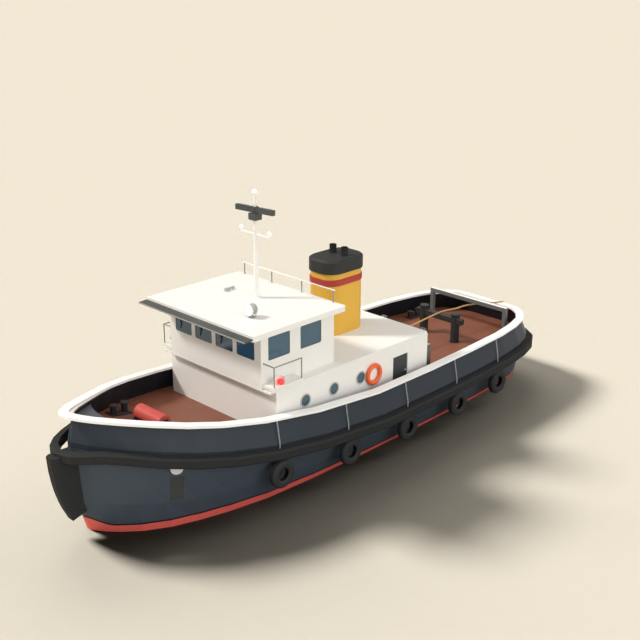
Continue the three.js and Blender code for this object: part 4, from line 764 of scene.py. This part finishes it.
seat_section = [(0.0, 0.0), (0.0, 0.20), (0.02, 0.205), (0.05, 0.20), (0.06, 0.17), (0.06, 0.0)]
foot_section = [(0.0, 0.0), (0.0, 0.19), (0.02, 0.18), (0.04, 0.05), (0.10, 0.032), (0.68, 0.032),
                (0.68, 0.0)]
stool = [turned(seat_section, (STOOL_X, 0, SEAT_Z), (0, 0, 1), 32),
         turned(foot_section, (STOOL_X, 0, CABIN_SOLE), (0, 0, 1), 24)]
mesh_piece("helm_stool", stool, varnished_teak, "hull")

# The aft door is plated in white, with a sealed pane in its upper half
DOOR_WINDOW, DOOR_WINDOW_Z, PANE_LAP = (-0.2, 0.2), (5.25, 5.75), 0.004
DOOR_SEAL, DOOR_PANE = (1.452, 1.471), (1.472, 1.480)
mesh_piece("door_pane_seal", seal_blocks(DOOR_WINDOW, DOOR_WINDOW_Z, DOOR_SEAL, 0), seal_rubber,
           "door_aft")
lapped = [(low - PANE_LAP, high + PANE_LAP) for low, high in (DOOR_WINDOW, DOOR_WINDOW_Z)]
mesh_piece("door_pane", [wall_block(lapped[0], lapped[1], DOOR_PANE, 0)], side_glass,
           "door_aft", bevel=0.002)

# Wheelhouse roof, visor and horn
# A flat plated roof in white, with a thin grey brow bolted along its front edge against glare. The horn
# is a white cast trumpet on two feet, the only thing low on the roof; its pale grey is painted shade.
HORN_SHADE_GREY, VISOR_GREY, VISOR_LIP = "#b2b4b4", "#484a49", "#8f908d"
HORN_OVER, LIP_FROM = 6.334, 6.041
# Everything above the roof plate, the horn, is painted pale grey: painted shade
roof_enamel = masked_enamel("roof_enamel", "Z", "GREATER_THAN", HORN_OVER, (WHITE, HORN_SHADE_GREY),
                            **HOUSE_COAT)
coat(roof_enamel, "wheelhouse_roof")

visor_enamel = masked_enamel("visor_enamel", "X", "GREATER_THAN", LIP_FROM, (VISOR_GREY, VISOR_LIP), 0.55,
                             haze=0.1)
coat(visor_enamel, "wheelhouse_visor")

# Navigation lights and mast
# Ribbed polycarbonate lenses over lamps: red to port, green to starboard, clear on the yard and at the
# masthead. The mast is a tapered steel tube in white, with a dark cast gearbox for the radar.
def lens_finish(name, code, glow, strength):
    """Ribbed polycarbonate over a lit lamp: deeper colour in the grooves and paler on the ribs, painted
    shade and light.
    """
    material, tree, shader, place = new_material(name)
    spot = add_node(tree, "ShaderNodeSeparateXYZ", None, {"Vector": place})
    # Ribs of 5 mm are drawn every 24 mm
    rib_pitch = 0.024
    pitch = add_node(tree, "ShaderNodeMath", {"operation": "MULTIPLY", 1: math.tau / rib_pitch},
                     {0: (spot, "Z")})
    rib = add_node(tree, "ShaderNodeMath", {"operation": "SINE"}, {0: pitch})
    shade = add_node(tree, "ShaderNodeMapRange", {"From Min": -1.0, "From Max": 1.0, "To Min": 0.0,
                     "To Max": 0.04}, {"Value": rib})
    tint = add_node(tree, "ShaderNodeMix", {"data_type": "RGBA", 6: code, 7: (1, 1, 1, 1)}, {0: shade})
    ridges = add_node(tree, "ShaderNodeBump", {"Strength": 0.4, "Distance": 0.002}, {"Height": rib})
    set_up(shader, {"Roughness": 0.15, "IOR": 1.58, "Emission Color": glow, "Emission Strength": strength},
           {"Base Color": (tint, 2), "Normal": ridges})
    return material


def lamp_lens(name, centre, radius, material):
    """A barrel lens with a flat seat and cap over a lamp of the given radius."""
    profile = [(-0.96, 0.0), (-0.96, 0.36), (-0.80, 0.66), (-0.45, 0.95), (0.0, 1.05), (0.45, 0.95),
               (0.80, 0.66), (0.98, 0.36), (1.03, 0.0)]
    mesh_piece(name, [turned([(a * radius, r * radius) for a, r in profile], centre, (0, 0, 1), 32)],
               material, "hull", crease=70)


red_lens = lens_finish("red_lens_polycarbonate", "#e0201e", "#ff3632", 0.85)
green_lens = lens_finish("green_lens_polycarbonate", "#2f9a5c", "#27c46a", 0.45)
clear_lens = lens_finish("clear_lens_polycarbonate", "#f4f3ee", "#fff8ec", 0.22)
SIDELIGHT_AT, YARD_LAMP_AT, MASTHEAD_AT = (4.53, 2.96, 4.405), (2.91, 0.73, 8.86), (2.91, 0.0, 10.25)
SIDELIGHT_RADIUS, YARD_LAMP_RADIUS, MASTHEAD_RADIUS = 0.112, 0.082, 0.094
for (side, hand), lens, slot in zip(SIDES, (red_lens, green_lens), ("red_paint", "grey_paint")):
    x, y, z = SIDELIGHT_AT
    lamp_lens("sidelight_lens_" + side, (x, hand * y, z), SIDELIGHT_RADIUS, lens)
for side, hand in SIDES:
    x, y, z = YARD_LAMP_AT
    lamp_lens("yard_lens_" + side, (x, hand * y, z), YARD_LAMP_RADIUS, clear_lens)
lamp_lens("masthead_lens", MASTHEAD_AT, MASTHEAD_RADIUS, clear_lens)

GEARBOX_GREY, GEARBOX_Z, GEARBOX_HALF = "#3c3e3f", 9.37, 0.122
mast_enamel = masked_enamel("mast_enamel", "Z", "COMPARE", GEARBOX_Z, (WHITE, GEARBOX_GREY), 0.42,
                            chalk="#dedbd2", haze=0.1, reach=GEARBOX_HALF)
coat(mast_enamel, "mast")

# Radar scanner
# An open array in a glass-fibre case, gel-coated grey; it turns on the gearbox spindle.
scanner_gelcoat = enamel("scanner_gelcoat", "#444a4d", 0.4, haze=0.05)
coat(scanner_gelcoat, "radar_scanner")

# Searchlight
# A spun drum in a forked yoke on a flanged post: white rim and lens in front, cooling fins behind. The
# shell, yoke and post are grey, and on the drum that grey is painted shade.
# The drum's grey shell is painted shade
searchlight_shade_grey = enamel("searchlight_shade_grey_enamel", "#b2b4b3", 0.4)
lens_glass, tree, shader, place = new_material("searchlight_lens_glass")
flute_at = add_node(tree, "ShaderNodeSeparateXYZ", None, {"Vector": place})
FLUTE_PITCH = 0.04
flute = add_node(tree, "ShaderNodeMath", {"operation": "MULTIPLY", 1: math.tau / FLUTE_PITCH},
                 {0: (flute_at, "Y")})
fluted = add_node(tree, "ShaderNodeMath", {"operation": "SINE"}, {0: flute})
flute_bump = add_node(tree, "ShaderNodeBump", {"Strength": 0.3, "Distance": 0.003}, {"Height": fluted})
flute_tone = add_node(tree, "ShaderNodeMapRange", {"From Min": -1.0, "To Min": 0.0, "To Max": 1.0},
                      {"Value": fluted})
lens_tint = add_node(tree, "ShaderNodeMix", {"data_type": "RGBA", 6: "#dfe2e0", 7: "#f5f4ef"},
                     {0: flute_tone})
# The lamp is lit behind it, so the lens shines nearly white
set_up(shader, {"Roughness": 0.08, "IOR": 1.52, "Emission Color": "#fffdf6", "Emission Strength": 0.45},
       {"Base Color": (lens_tint, 2), "Normal": flute_bump})
LIGHT_RADIUS, ROOF_TOP = 0.210, 6.33
low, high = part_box("searchlight")
LIGHT_AT = Vector(((low[0] + high[0]) / 2, (low[1] + high[1]) / 2, high[2] - LIGHT_RADIUS))
LIGHT_HALF = (high[0] - low[0]) / 2
shell = turned([
    (-LIGHT_HALF, 0.0), (-LIGHT_HALF, 0.10), (-0.140, 0.150), (-0.120, 0.165), (-0.116, 0.186),
    (-0.106, 0.186), (-0.102, 0.172), (-0.086, 0.176), (-0.082, 0.194), (-0.072, 0.194), (-0.068, 0.182),
    (-0.052, 0.185), (-0.048, 0.200), (-0.038, 0.200), (-0.034, 0.190), (0.118, 0.194), (0.118, 0.0)],
    LIGHT_AT, (1, 0, 0), 56)
stand_post = turned([
    (0.002, 0.0), (0.002, 0.140), (0.022, 0.140), (0.028, 0.130), (0.032, 0.062), (0.060, 0.048),
    (0.070, 0.048), (0.070, 0.0)], (LIGHT_AT.x, LIGHT_AT.y, ROOF_TOP), (0, 0, 1), 32)
fork = []
for hand in (1, -1):
    bends = [(0, -0.240), (0.14, -0.238), (0.225, -0.16), (0.228, 0.02)]
    fork.append(tube([LIGHT_AT + Vector((0, hand * y, z)) for y, z in bends], 0.016))
    fork.append(turned([(-0.03, 0.0), (-0.03, 0.030), (0.012, 0.034), (0.020, 0.028), (0.020, 0.0)],
                       LIGHT_AT + Vector((0, hand * 0.222, 0)), (0, hand, 0), 20))
searchlight_body = mesh_piece("searchlight_body", [shell, stand_post] + fork, searchlight_shade_grey, "hull")
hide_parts("searchlight")
rim = turned([(0.112, 0.186), (0.112, 0.206), (0.120, LIGHT_RADIUS), (0.148, LIGHT_RADIUS),
              (LIGHT_HALF, 0.200), (LIGHT_HALF, 0.186), (0.140, 0.182), (0.112, 0.186)],
             LIGHT_AT, (1, 0, 0), 56)
mesh_piece("searchlight_rim", [rim], white_enamel, "hull")
lens = turned([(0.120, 0.184), (0.138, 0.184), (0.148, 0.120), (0.153, 0.0)], LIGHT_AT, (1, 0, 0), 48)
mesh_piece("searchlight_lens", [lens], lens_glass, "hull")

# Funnel
# Rolled plate in yellow enamel with a proud red band, under a black cap. Soot darkens the cap's two
# exhaust pipes towards their mouths.
FUNNEL_YELLOW, FUNNEL_BAND, FUNNEL_BLACK, SOOT = "#dfaf47", "#ad3b3c", "#333433", "#222121"
BAND_Z, BAND_HALF, SOOT_Z = 6.225, 0.127, (7.08, 7.36)
funnel_enamel = masked_enamel("funnel_enamel", "Z", "COMPARE", BAND_Z, (FUNNEL_YELLOW, FUNNEL_BAND), 0.45,
                              chalk="#dcb46a", haze=0.06, reach=BAND_HALF)
coat(funnel_enamel, "funnel_casing")
cap_enamel, tree, shader, place = new_material("funnel_cap_enamel")
spot = add_node(tree, "ShaderNodeSeparateXYZ", None, {"Vector": place})
sooted = add_node(tree, "ShaderNodeMapRange", {"From Min": SOOT_Z[0], "From Max": SOOT_Z[1]},
                  {"Value": (spot, "Z")})
cap_paint = add_node(tree, "ShaderNodeMix", {"data_type": "RGBA", 6: FUNNEL_BLACK, 7: SOOT}, {0: sooted})
enamel_finish(tree, shader, place, (cap_paint, 2), 0.55, chalk="#6d7074", haze=0.05)
coat(cap_enamel, "funnel_cap")

# The casing's middle, half length and half width inside its band, and the radius of its corners
BAND_PROUD, FUNNEL_ROUND = 0.022, 0.530
low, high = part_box("funnel_casing")
FUNNEL_X = (low[0] + high[0]) / 2
FUNNEL_LONG, FUNNEL_HALF = (high[0] - low[0]) / 2 - BAND_PROUD, high[1] - BAND_PROUD


def sleeve(outset, wall, z0, z1):
    """A plate wrapped round the funnel between two heights; outset is from the casing."""
    def loop(out):
        radius = FUNNEL_ROUND + out
        return [(FUNNEL_X + sx * (FUNNEL_LONG - FUNNEL_ROUND) + radius * math.cos(a),
                 sy * (FUNNEL_HALF - FUNNEL_ROUND) + radius * math.sin(a))
                for quarter, (sx, sy) in enumerate(((1, 1), (-1, 1), (-1, -1), (1, -1)))
                for a in [math.pi / 2 * (quarter + k / 9) for k in range(10)]]
    lip = 0.008
    section = ((outset - lip, z0), (outset, z0 + lip), (outset, z1 - lip), (outset - lip, z1),
               (outset - wall, z1), (outset - wall, z0))
    rings = [[(x, y, z) for x, y in loop(out)] for out, z in section]
    around, count = len(section), len(rings[0])
    faces = [[r * count + k, r * count + (k + 1) % count, (r + 1) % around * count + (k + 1) % count,
              (r + 1) % around * count + k] for r in range(around) for k in range(count)]
    return [point for ring in rings for point in ring], faces


# A lapped skirt stiffens the cap and a second strap lies over the band
SKIRT_OUT, SKIRT_WALL, SKIRT_Z = 0.062, 0.034, (6.583, 7.047)
STRAP_OUT, STRAP_WALL, STRAP_Z = 0.036, 0.016, (6.108, 6.342)
skirt = sleeve(SKIRT_OUT, SKIRT_WALL, *SKIRT_Z)
mesh_piece("funnel_cap_skirt", [skirt], cap_enamel, "hull")
strap = sleeve(STRAP_OUT, STRAP_WALL, *STRAP_Z)
mesh_piece("funnel_band_strap", [strap], funnel_enamel, "hull")

# Rails
# Steel tube of 48 mm, welded. The roof rail has a white top bar on grey posts, the white painted light
# for the sun on it; the wing rails are grey all over.
RAIL_POST_GREY, LIT_TOP_BAR_OVER = "#8f9190", 6.775
# The top bar is painted white: painted light
roof_rail_lit_top_enamel = masked_enamel("roof_rail_lit_top_enamel", "Z", "GREATER_THAN", LIT_TOP_BAR_OVER,
                                 (RAIL_POST_GREY, WHITE), 0.42)
coat(roof_rail_lit_top_enamel, "roof_rail")
wing_rail_enamel = enamel("wing_rail_enamel", "#9a9a95", 0.42)
coat(wing_rail_enamel, "wing_rail_")

# Windlass
# A welded drum in red enamel between dark cheek plates, with shallow grooves that lay the line.
drum_enamel = enamel("drum_red_enamel", "#c4514b", 0.42, haze=0.05)
low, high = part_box("windlass_drum")
DRUM_AT = ((low[0] + high[0]) / 2, 0.0, (low[2] + high[2]) / 2)
DRUM_Y, DRUM_RADIUS = (low[1], high[1]), (high[0] - low[0]) / 2
DRUM_BORE, DRUM_EDGE, CHAMFER = 0.055, 0.262, 0.008
GROOVES, GROOVE_PITCH, GROOVE_DEPTH = 13, 0.10, 0.003
drum_profile = [(DRUM_Y[0], DRUM_BORE), (DRUM_Y[0], DRUM_EDGE), (DRUM_Y[0] + CHAMFER, DRUM_RADIUS)]
for groove in range(1, GROOVES + 1):
    lay = DRUM_Y[0] + groove * GROOVE_PITCH
    drum_profile += [(lay, DRUM_RADIUS), (lay + CHAMFER, DRUM_RADIUS - GROOVE_DEPTH),
                     (lay + 2 * CHAMFER, DRUM_RADIUS)]
drum_profile += [(DRUM_Y[1] - CHAMFER, DRUM_RADIUS), (DRUM_Y[1], DRUM_EDGE), (DRUM_Y[1], DRUM_BORE),
                 (DRUM_Y[0], DRUM_BORE)]
drum = mesh_piece("line_drum", [turned(drum_profile, DRUM_AT, (0, 1, 0), 72)], drum_enamel,
                  "windlass_drum", crease=50)
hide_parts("windlass_drum")
stand_enamel = enamel("windlass_stand_enamel", "#2f3032", 0.5)
coat(stand_enamel, "windlass_stand")

# Bollards, towing bitt, gantry and hook
# Seamless steel posts with flat caps in black enamel, painted lighter where they face up: a painted
# highlight. The gantry is a square-tube frame in grey, its top face painted white: painted light.
black_enamel, tree, shader, place = new_material("deck_gear_black_enamel")
geometry = add_node(tree, "ShaderNodeNewGeometry")
facing = add_node(tree, "ShaderNodeSeparateXYZ", None, {"Vector": (geometry, "Normal")})
# Faces that point up are painted lighter: a painted highlight
up_face_highlight = add_node(tree, "ShaderNodeMapRange", {"From Min": 0.5, "From Max": 0.95, "To Max": 0.55},
                 {"Value": (facing, "Z")})
black_and_highlight = add_node(tree, "ShaderNodeMix", {"data_type": "RGBA", 6: "#2b2b2b", 7: "#47484a"},
                      {0: up_face_highlight})
enamel_finish(tree, shader, place, (black_and_highlight, 2), 0.42)
coat(black_enamel, "bollards_fore_", "bollards_aft_", "tow_bitt", "tow_hook")

# Post centres, the deck under them, and their height: a turned sleeve rounds each post and cap
POSTS = {"fore": [(8.20, 1.725, 2.838, 0.380), (7.66, 1.840, 2.742, 0.400)],
         "aft": [(-8.84, 2.50, 1.90, 0.340), (-9.33, 2.46, 1.90, 0.340)]}
for side, hand in SIDES:
    for end, posts in POSTS.items():
        sleeves = []
        for x, y, deck, height in posts:
            top = height + 0.003
            section = [(0.035, 0.115), (top - 0.058, 0.115), (top - 0.052, 0.140), (top - 0.044, 0.151),
                       (top - 0.010, 0.151), (top, 0.142), (top, 0.0)]
            sleeves.append(turned(section, (x, hand * y, deck), (0, 0, 1), 40))
        mesh_piece("bollard_posts_%s_%s" % (end, side), sleeves, black_enamel, "hull")

# The bitt's posts have cap discs, and a square casing sheathes its beam where the rope bears
low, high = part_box("tow_bitt")
BITT_X, BITT_TOP = (low[0] + high[0]) / 2, high[2]
BITT_Y, BEAM_Z, BEAM_REACH, BEAM_HALF = 0.87, 2.88, 1.252, 0.1215
bitt_caps = [turned([(-0.060, 0.188), (-0.054, 0.206), (-0.006, 0.206), (0.003, 0.198), (0.003, 0.0)],
                    (BITT_X, y, BITT_TOP), (0, 0, 1), 40) for y in (-BITT_Y, BITT_Y)]
beam_casing = block((BITT_X - BEAM_HALF, -BEAM_REACH, BEAM_Z - BEAM_HALF),
                    (BITT_X + BEAM_HALF, BEAM_REACH, BEAM_Z + BEAM_HALF))
mesh_piece("bitt_caps_and_casing", bitt_caps + [beam_casing], black_enamel, "hull",
           bevel=0.006)

gantry_enamel, tree, shader, place = new_material("gantry_grey_enamel")
spot = add_node(tree, "ShaderNodeSeparateXYZ", None, {"Vector": place})
geometry = add_node(tree, "ShaderNodeNewGeometry")
facing = add_node(tree, "ShaderNodeSeparateXYZ", None, {"Vector": (geometry, "Normal")})
# The gantry's up-facing faces are painted white: painted light
lit_top_mask = add_node(tree, "ShaderNodeMath", {"operation": "GREATER_THAN", 1: 0.8}, {0: (facing, "Z")})
gantry_grey_and_lit_top = add_node(tree, "ShaderNodeMix", {"data_type": "RGBA", 6: "#686a6c", 7: WHITE}, {0: lit_top_mask})
enamel_finish(tree, shader, place, (gantry_grey_and_lit_top, 2), 0.42)
coat(gantry_enamel, "tow_gantry")

# Tow rope
# Three-strand laid manila, 76 mm thick, hauled taut from the hook over the bitt's beam, under the
# gantry and out over the stern. One lay takes seven diameters.
manila_fibre, tree, shader, place = new_material("laid_manila_fibre")
fibre = add_node(tree, "ShaderNodeTexNoise", {"Scale": 38.0, "Detail": 5.0, "Roughness": 0.7},
                 {"Vector": place})
fibre_tone = add_node(tree, "ShaderNodeMix", {"data_type": "RGBA", 6: "#b08c4e", 7: "#d9bd82"},
                      {0: fibre})
fuzz = add_node(tree, "ShaderNodeBump", {"Strength": 0.6, "Distance": 0.003}, {"Height": fibre})
set_up(shader, {"Roughness": 0.85, "Sheen Weight": 0.2}, {"Base Color": (fibre_tone, 2), "Normal": fuzz})

ROPE_SIZES = {"Thickness": 0.076, "Lay": 0.53, "Step": 0.03}
rope_tree, given, grown_out = new_tree("laid_rope", **ROPE_SIZES)
rope_route = add_node(rope_tree, "GeometryNodeMeshToCurve", None, {"Mesh": given})
rope_sweep = add_node(rope_tree, "GeometryNodeCurveSplineType", {"spline_type": "CATMULL_ROM"},
                      {"Curve": rope_route})
rope_line = add_node(rope_tree, "GeometryNodeResampleCurve", {"mode": "LENGTH"},
                     {"Curve": rope_sweep, "Length": (given, "Step")})
rope_reach = add_node(rope_tree, "GeometryNodeSplineParameter")
lays = add_node(rope_tree, "ShaderNodeMath", {"operation": "DIVIDE"},
                {0: (rope_reach, "Length"), 1: (given, "Lay")})
twist = add_node(rope_tree, "ShaderNodeMath", {"operation": "MULTIPLY", 1: math.tau}, {0: lays})
twisted = add_node(rope_tree, "GeometryNodeSetCurveTilt", None, {"Curve": rope_line, "Tilt": twist})
strand_radius = add_node(rope_tree, "ShaderNodeMath", {"operation": "MULTIPLY", 1: 0.236},
                         {0: (given, "Thickness")})
strand_off = add_node(rope_tree, "ShaderNodeMath", {"operation": "MULTIPLY", 1: 0.264},
                      {0: (given, "Thickness")})
strand = add_node(rope_tree, "GeometryNodeCurvePrimitiveCircle", {"Resolution": 8},
                  {"Radius": strand_radius})
off_centre = add_node(rope_tree, "ShaderNodeCombineXYZ", None, {"X": strand_off})
first_strand = add_node(rope_tree, "GeometryNodeTransform", None,
                        {"Geometry": strand, "Translation": off_centre})
strands = add_node(rope_tree, "GeometryNodeJoinGeometry")
for third in range(3):
    one_strand = add_node(rope_tree, "GeometryNodeTransform", {"Rotation": (0, 0, third * math.tau / 3)},
                          {"Geometry": first_strand})
    set_up(strands, None, {"Geometry": one_strand})
rope_body = add_node(rope_tree, "GeometryNodeCurveToMesh", {"Fill Caps": True},
                     {"Curve": twisted, "Profile Curve": strands})
solid_rope = add_node(rope_tree, "GeometryNodeRealizeInstances", None, {"Geometry": rope_body})
coated_rope = add_node(rope_tree, "GeometryNodeSetMaterial", {"Material": manila_fibre},
                       {"Geometry": solid_rope})
set_up(grown_out, None, {"Geometry": coated_rope})

ROPE_POINTS = [(-3.863, 0, 2.820), (-6.0, 0, 2.930), (-7.865, 0, 3.041), (-8.9, 0.04, 2.965),
               (-9.9, 0.12, 2.930), (-11.2, 0.70, 2.8782), (-11.48, 0.83, 2.8782)]
rope_mesh = bpy.data.meshes.new("rope_route")
rope_mesh.from_pydata(ROPE_POINTS, [(i, i + 1) for i in range(len(ROPE_POINTS) - 1)], [])
rope = grown("laid_tow_rope", rope_mesh, rope_tree, ROPE_SIZES, "hull")
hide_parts("tow_rope")

# Lifebuoys
# Foam rings in an orange polyethylene shell, one on each side of the deckhouse, with a grab line of
# 9 mm cord seized at four places.
buoy_shell, tree, shader, place = new_material("buoy_polyethylene")
mottle = add_node(tree, "ShaderNodeTexNoise", {"Scale": 9.0, "Detail": 4.0}, {"Vector": place})
orange = add_node(tree, "ShaderNodeMix", {"data_type": "RGBA", 6: "#ee6128", 7: "#f8713a"}, {0: mottle})
peel = add_node(tree, "ShaderNodeTexNoise", {"Scale": 120.0, "Detail": 1.0}, {"Vector": place})
peel_bump = add_node(tree, "ShaderNodeBump", {"Strength": 0.2, "Distance": 0.0008}, {"Height": peel})
set_up(shader, {"Roughness": 0.42}, {"Base Color": (orange, 2), "Normal": peel_bump})
grab_cord, tree, shader, place = new_material("grab_line_cord")
cord_tone = add_node(tree, "ShaderNodeTexNoise", {"Scale": 150.0, "Detail": 2.0}, {"Vector": place})
cord_tint = add_node(tree, "ShaderNodeMix", {"data_type": "RGBA", 6: "#d9703c", 7: "#e88a55"},
                     {0: cord_tone})
set_up(shader, {"Roughness": 0.8}, {"Base Color": (cord_tint, 2)})
BUOY_RING, BUOY_TUBE = 0.340, 0.0795
low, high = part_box("lifebuoy_port")
buoy_x, buoy_y, buoy_z = [(a + b) / 2 for a, b in zip(low, high)]
CORD_RADIUS, SEIZING_RADIUS, SEIZINGS = 0.0045, 0.005, 4
buoy_turns = [math.tau * k / 24 for k in range(25)]
buoy_section = [(BUOY_TUBE * math.sin(a), BUOY_RING + BUOY_TUBE * math.cos(a)) for a in buoy_turns]
for side, hand in SIDES:
    centre = Vector((buoy_x, hand * buoy_y, buoy_z))
    buoy = mesh_piece("lifebuoy_ring_" + side, [turned(buoy_section, centre, (0, 1, 0), 56)],
                      buoy_shell, "hull")
    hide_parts("lifebuoy_" + side)
    cords = []
    for k in range(SEIZINGS):
        run, around = [], []
        for j in range(13):
            a = math.tau * (k + 0.5 + (j / 12 - 0.5) * 0.94) / SEIZINGS + math.tau / 8
            slack = 0.006 * math.sin(math.pi * j / 12)
            r = BUOY_RING + BUOY_TUBE + 0.002 + slack
            run.append(centre + Vector((math.cos(a) * r, hand * 0.004, math.sin(a) * r)))
        cords.append(tube(run, CORD_RADIUS, 6))
        # The seizing goes round the ring, apart from where the ring lies on the wall
        a, over = math.tau * k / SEIZINGS + math.tau / 8, BUOY_TUBE + 0.003
        for j in range(17):
            b = math.tau * j / 16
            r = BUOY_RING + over * math.cos(b)
            around.append(centre + Vector((math.cos(a) * r, over * math.sin(b) * hand, math.sin(a) * r)))
        cords.append(tube([p for p in around if abs(p.y) > DECKHOUSE_SIDE + 0.004], SEIZING_RADIUS, 6))
    mesh_piece("grab_line_" + side, cords, grab_cord, "hull")

# Rudder and propeller
# The rudder blade is plated and painted with red antifouling; the propeller is cast manganese bronze,
# ground in arcs about its hub, and keyed to the shaft.
antifouling = enamel("antifouling_paint", "#b84a44", 0.7, haze=0.14)
coat(antifouling, "rudder")
cast_bronze, tree, shader, place = new_material("cast_manganese_bronze")
# The pattern is centred on the hub
HUB_X, HUB_Z = -7.76, -1.64
hub_at = add_node(tree, "ShaderNodeMapping", {"Location": (-HUB_X, 0, -HUB_Z)}, {"Vector": place})
ground = add_node(tree, "ShaderNodeTexWave", {"wave_type": "RINGS", "rings_direction": "X", "Scale": 12.0,
                  "Distortion": 2.0, "Detail": 3.0}, {"Vector": hub_at})
bronze_tone = add_node(tree, "ShaderNodeMix", {"data_type": "RGBA", 6: "#8e6a34", 7: "#b08a4c"},
                       {0: (ground, "Fac")})
ground_bump = add_node(tree, "ShaderNodeBump", {"Strength": 0.15, "Distance": 0.001},
                       {"Height": (ground, "Fac")})
set_up(shader, {"Metallic": 0.9, "Roughness": 0.36},
       {"Base Color": (bronze_tone, 2), "Normal": ground_bump})
coat(cast_bronze, "propeller")
